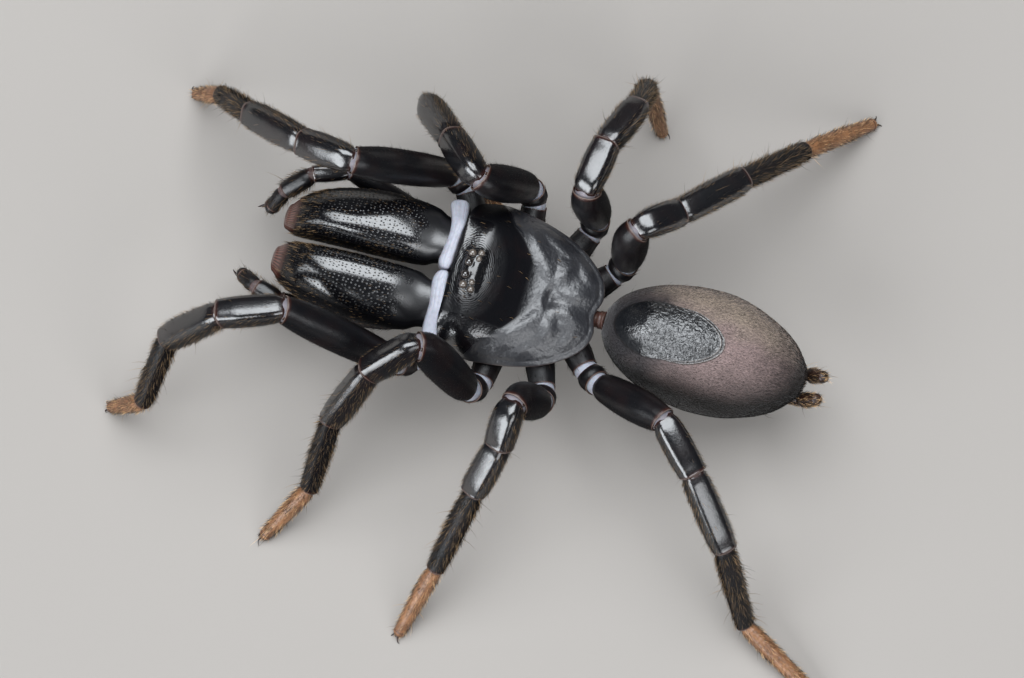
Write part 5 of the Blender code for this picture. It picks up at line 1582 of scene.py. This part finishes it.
class SPIDER_OT_underside(bpy.types.Operator):
    """Makes the sternum with its lip and pits, and the pedicel"""
    bl_idname = "spider.underside"
    bl_label = "Sternum and pedicel"

    def execute(self, context):
        colours, sizes = context.scene.spider_colours, context.scene.spider_sizes
        low, high = STERNUM_HEIGHTS
        angle = np.linspace(0, math.tau, 96, endpoint=False)
        rows = []
        for share in (0.04, 0.15, 0.28, 0.42, 0.56, 0.70, 0.82, 0.91, 0.97, 1.0):
            x = STERNUM_CENTRE + STERNUM_HALF[0] * share * np.cos(angle)
            y = STERNUM_HALF[1] * share * np.sin(angle)
            level = low + 0.30 * share ** 5 - 0.02
            pits = sum(
                0.035 * np.exp(-((x - pit_x) ** 2 / 0.012 + (np.abs(y) - pit_y) ** 2 / 0.006))
                for pit_x, pit_y in ((-0.75, 0.42), (-0.10, 0.52), (0.55, 0.42))
            )
            rows.append(np.stack([x, y, level + pits], -1))
        rows += [np.stack([x, y, level + 0 * angle], -1) for level in (1.95, 2.2, high)]
        rows = np.array(rows)
        shells = Shells()
        dark = np.array(colours.bristle_dark)
        below = (rows[..., 2] < 1.75).astype(float)
        shells.add(
            rows, lie=np.array([1.0, 0.0, 0.0]), tint=dark, bristle_density=40 * below, bristle_length=0.14,
        )
        centre, half = (-1.42, 0.0, 1.62), (0.22, 0.30, 0.16)
        shells.add(
            ball(centre, half, 16, 28), tint=dark, bristle_density=0.0, bristle_length=0.14,
            **ball_poles(centre, half)
        )
        plate = brown_plate("brown_sternum_chitin", colours.sternum, colours, sizes)
        shells.finish("sternum_plate", plate, "sternum_chitin", "sternum")

        share = np.linspace(0, 1, 30)
        (front_x, front_z), (rear_x, rear_z) = PEDICEL_ENDS
        x, z = front_x - 0.08 + (rear_x - front_x + 0.16) * share, front_z + (rear_z - front_z) * share
        points = np.stack([x, 0 * share, z], -1)
        radii = PEDICEL_RADIUS * (1 + 0.12 * np.cos(math.tau * share) + 0.05 * np.sin(share * 40))
        shells = Shells()
        shells.add(tube_rows(points, radii, 28), fold=0.5)
        skin = bpy.data.materials["soft_pleural_skin"]
        shells.finish("pedicel_stalk", skin, "joint_membrane", "pedicel")
        return {"FINISHED"}


def make_hide(colours):
    """The abdomen's skin, tinted from its tan side to its dark belly, with painted light on its top and right
    side and painted shade on its lower flanks, and what its hairs read from it.
    """
    share = np.linspace(0, 1, 120)
    length = ABDOMEN_STATIONS[-1][0]
    along = (length * (0.5 * share + 0.5 * (0.5 - 0.5 * np.cos(math.pi * share))))[:, None]
    angle = limb_angles(112)
    along, angle = np.broadcast_arrays(along, angle)
    half_width, top, bottom = smooth_through(ABDOMEN_STATIONS, along)
    rows = np.stack([
        ABDOMEN_FRONT + along, half_width * np.sin(angle),
        (top + bottom) / 2 + (top - bottom) / 2 * np.cos(angle),
    ], -1)
    rows = rows + 0.010 * ripple(rows, 0.9, 21)[..., None] * (rows - rows.mean(1, keepdims=True))
    x, y, z = np.moveaxis(rows, -1, 0)
    # Painted light and shade: the upper share grows with height and towards the right side, where the light
    # falls, so the back and right flank are painted lighter and the lower flanks painted darker than the skin's
    # own tone.
    upper = smooth_step(2.45, 3.75, z + 0.45 * y / ABDOMEN_STATIONS[4][1] + 0.10 * ripple(rows, 0.7, 22))
    skin = tinted(np.array(colours.abdomen_lower), colours.abdomen_upper, upper)
    # Tan on the right side's upper edge: partly the skin's own tone, partly painted light where the light
    # falls.
    tan = 0.75 * upper * smooth_step(0.25, 1.15, y + 0.15 * (x - 3.4) + 0.12 * ripple(rows, 0.6, 24))
    skin = tinted(skin, colours.abdomen_tan_and_light, tan)
    spot = np.hypot((x - 2.80) / 1.15, (y - SCUTUM_CENTRE[1]) / 1.05)
    front = smooth_step(1.15, 0.55, spot + 0.06 * ripple(rows, 0.5, 23)) * smooth_step(2.1, 2.7, z)
    skin = tinted(skin, colours.abdomen_front, front)
    rear = smooth_step(5.2, 6.6, x)
    skin = skin * (1 - 0.25 * rear)[..., None]
    plate = np.hypot((x - SCUTUM_CENTRE[0]) / SCUTUM_HALF[0], (y - SCUTUM_CENTRE[1]) / SCUTUM_HALF[1])
    clear = 1 - smooth_step(1.0, 0.90, plate) * (z > 2.9)
    # The hairs darken with the same upper share: painted shade on the lower flanks, over the dark front's own
    # colour.
    velvet = np.array(colours.velvet) * 0.35 * (0.04 + 0.96 * upper * (1 - front))[..., None] + skin * 0.8
    density = 1230 * clear * smooth_step(0.0, 0.25, along)
    shells = Shells()
    shells.add(
        rows, end=(ABDOMEN_FRONT + ABDOMEN_END[0], 0, ABDOMEN_END[1]), tint=skin, velvet=velvet,
        right_density=density * (y >= 0), left_density=density * (y < 0),
        bristle_length=0.062 + 0.03 * rear, long_density=2.0 * clear, long_length=0.26,
    )
    shells.finish("abdomen_hide", abdomen_skin(), "abdomen_skin", "abdomen")


def make_scutum(colours):
    """The plate on the abdomen, which follows its back and has a low bulge and a double rim."""
    angle = np.linspace(0, math.tau, 144, endpoint=False)
    edge_line = scutum_edge(angle)
    rows, rims, rears, dulls = [], [], [], []
    ring_shares = np.concatenate([np.linspace(0.02, 0.90, 34), np.linspace(0.915, 1.0, 12)])
    for share, sunk in [(s, 0.0) for s in ring_shares] + [(1.012, 0.05), (1.0, 0.10)]:
        place = np.array(SCUTUM_CENTRE) + edge_line * share
        ground = abdomen_top(place[:, 0], place[:, 1])
        behind = smooth_step(-0.2, 0.6, edge_line[:, 0] * share)
        ahead = edge_line[:, 0] * share - SCUTUM_BULGE[0]
        aside = edge_line[:, 1] * share - SCUTUM_BULGE[1]
        bulge = SCUTUM_BULGE[3] * np.exp(-(ahead ** 2 + aside ** 2) / SCUTUM_BULGE[2] ** 2)
        inner_share = min(share, 1.0)
        lift = 0.09 * (1 - inner_share ** 2.2) + 0.012 + 0.012 * behind + bulge * (1 - inner_share ** 6)
        outer, inner = (math.exp(-((share - bead) / 0.014) ** 2) for bead in (0.988, 0.925))
        rows.append(np.column_stack([place, ground + lift + 0.014 * behind * (outer + inner) - sunk]))
        rims.append(0.5 * (outer * (0.1 + 0.9 * behind) + 0.7 * inner * behind))
        blotch = 0.10 * ripple(rows[-1], 0.30, 31)
        slant = edge_line[:, 0] * share + 0.18 * edge_line[:, 1] * share
        rears.append(smooth_step(-0.68, -0.34, slant + blotch))
        dulls.append((0.9 - 0.85 * rears[-1]) * smooth_step(0.30, 0.58, np.hypot(ahead, aside)))
    shells = Shells()
    shells.add(np.array(rows), edge=np.array(rims), rear=np.array(rears), dull=np.array(dulls))
    shells.finish("scutum_plate", scutum_chitin(colours), "scutum_chitin", "scutum")


def make_spinnerets(colours, sizes):
    """The four spinnerets, as limbs of two segments."""
    finish = brown_plate("spinneret_cuticle", colours.abdomen_lower, colours, sizes)
    for side in SIDES:
        for kind, joints in SPINNERET_JOINTS.items():
            placed = [(x, y * SIGN[side], z) for x, y, z in joints]
            limb = centre_line(placed, SPINNERET_BEND_RADIUS, FOOT_RADIUS)
            shells = Shells()
            for index in (0, 1):
                add_segment(shells, limb, index, kind, (0.02,), colours, index == 1, 40 + index)
            shells.finish(f"{kind}_joints_{side}", finish, "abdomen_skin", f"{kind}_{side}")


class SPIDER_OT_abdomen(bpy.types.Operator):
    """Makes the abdomen's skin, its scutum and the spinnerets"""
    bl_idname = "spider.abdomen"
    bl_label = "Abdomen, scutum and spinnerets"

    def execute(self, context):
        colours, sizes = context.scene.spider_colours, context.scene.spider_sizes
        make_hide(colours)
        make_scutum(colours)
        make_spinnerets(colours, sizes)
        return {"FINISHED"}


class SPIDER_OT_bristles(bpy.types.Operator):
    """Grows the bristles and the abdomen's velvet"""
    bl_idname = "spider.bristles"
    bl_label = "Bristles"

    def execute(self, context):
        bristle_tree()
        hair = bristle_material("bristle_chitin", "tint")
        thickness = context.scene.spider_sizes.bristle_share
        seed = 1
        skins = []
        for side in SIDES:
            for number in LEG_LENGTHS:
                skins += [f"walking_leg_{side}_{number}_segments", f"walking_leg_{side}_{number}_foot"]
            skins.append(f"pedipalp_{side}_segments")
            skins += [f"{kind}_joints_{side}" for kind in SPINNERET_JOINTS]
        for skin in skins:
            piece = bpy.data.objects[skin]
            grow(
                f"{skin}_short_bristles", piece, "bristle", hair, Lift=0.0, Spread=0.26, Bend=0.14,
                Thickness=thickness, Seed=seed
            )
            if "small" not in skin:
                grow(
                    f"{skin}_long_bristles", piece, "bristle", hair, Lift=0.35, Spread=0.25, Bend=0.18,
                    Thickness=0.45 * thickness, Seed=seed + 1, **LONG_BRISTLES
                )
            seed += 2
        for side in SIDES:
            piece = bpy.data.objects[f"chelicera_segment_{side}"]
            grow(
                f"chelicera_short_bristles_{side}", piece, "bristle", hair, Lift=0.32, Spread=0.12, Bend=0.12,
                Thickness=0.050, Seed=seed
            )
            grow(
                f"chelicera_fringe_{side}", piece, "bristle", hair, Lift=0.55, Spread=0.2, Bend=0.3,
                Thickness=0.04, Seed=seed + 1, **LONG_BRISTLES
            )
            seed += 2
        for skin in ("carapace_shield", "sternum_plate"):
            grow(
                f"{skin}_bristles", bpy.data.objects[skin], "bristle", hair, Lift=0.6, Spread=0.25, Bend=0.2,
                Thickness=0.05, Seed=seed
            )
            seed += 1
        velvet = bristle_material("abdomen_velvet", "velvet")
        hide = bpy.data.objects["abdomen_hide"]
        for side in SIDES:
            grow(
                f"abdomen_velvet_{side}", hide, "abdomen_skin", velvet, Lift=0.42, Spread=0.16, Bend=0.22,
                Thickness=0.055, Seed=seed, Density_From=f"{side}_density"
            )
            seed += 1
        grow(
            "abdomen_long_hairs", hide, "abdomen_skin", velvet, Lift=0.7, Spread=0.2, Bend=0.25,
            Thickness=0.022, Seed=seed, **LONG_BRISTLES
        )
        return {"FINISHED"}


class SPIDER_PT_panel(bpy.types.Panel):
    """Lists the pieces of the spider and the sizes and colours behind them"""
    bl_idname = "SPIDER_PT_panel"
    bl_label = "Purseweb Spider"
    bl_space_type = "VIEW_3D"
    bl_region_type = "UI"
    bl_category = "Spider"

    def draw(self, context):
        for operator in OPERATORS:
            self.layout.operator(operator.bl_idname)
        for group in (context.scene.spider_sizes, context.scene.spider_colours):
            box = self.layout.box()
            for name in group.__annotations__:
                box.prop(group, name)


OPERATORS = (
    SPIDER_OT_stage, SPIDER_OT_carapace, SPIDER_OT_eyes, SPIDER_OT_jaws, SPIDER_OT_legs, SPIDER_OT_palps,
    SPIDER_OT_underside, SPIDER_OT_abdomen, SPIDER_OT_bristles,
)
CLASSES = (SpiderColours, SpiderSizes, *OPERATORS, SPIDER_PT_panel)


def register():
    for item in CLASSES:
        bpy.utils.register_class(item)
    bpy.types.Scene.spider_colours = bpy.props.PointerProperty(type=SpiderColours)
    bpy.types.Scene.spider_sizes = bpy.props.PointerProperty(type=SpiderSizes)


def unregister():
    del bpy.types.Scene.spider_sizes
    del bpy.types.Scene.spider_colours
    for item in reversed(CLASSES):
        bpy.utils.unregister_class(item)


def main():
    register()
    bpy.ops.spider.stage()
    bpy.ops.spider.carapace()
    bpy.ops.spider.eyes()
    bpy.ops.spider.jaws()
    bpy.ops.spider.legs()
    bpy.ops.spider.palps()
    bpy.ops.spider.underside()
    bpy.ops.spider.abdomen()
    bpy.ops.spider.bristles()


if __name__ == "__main__":
    main()
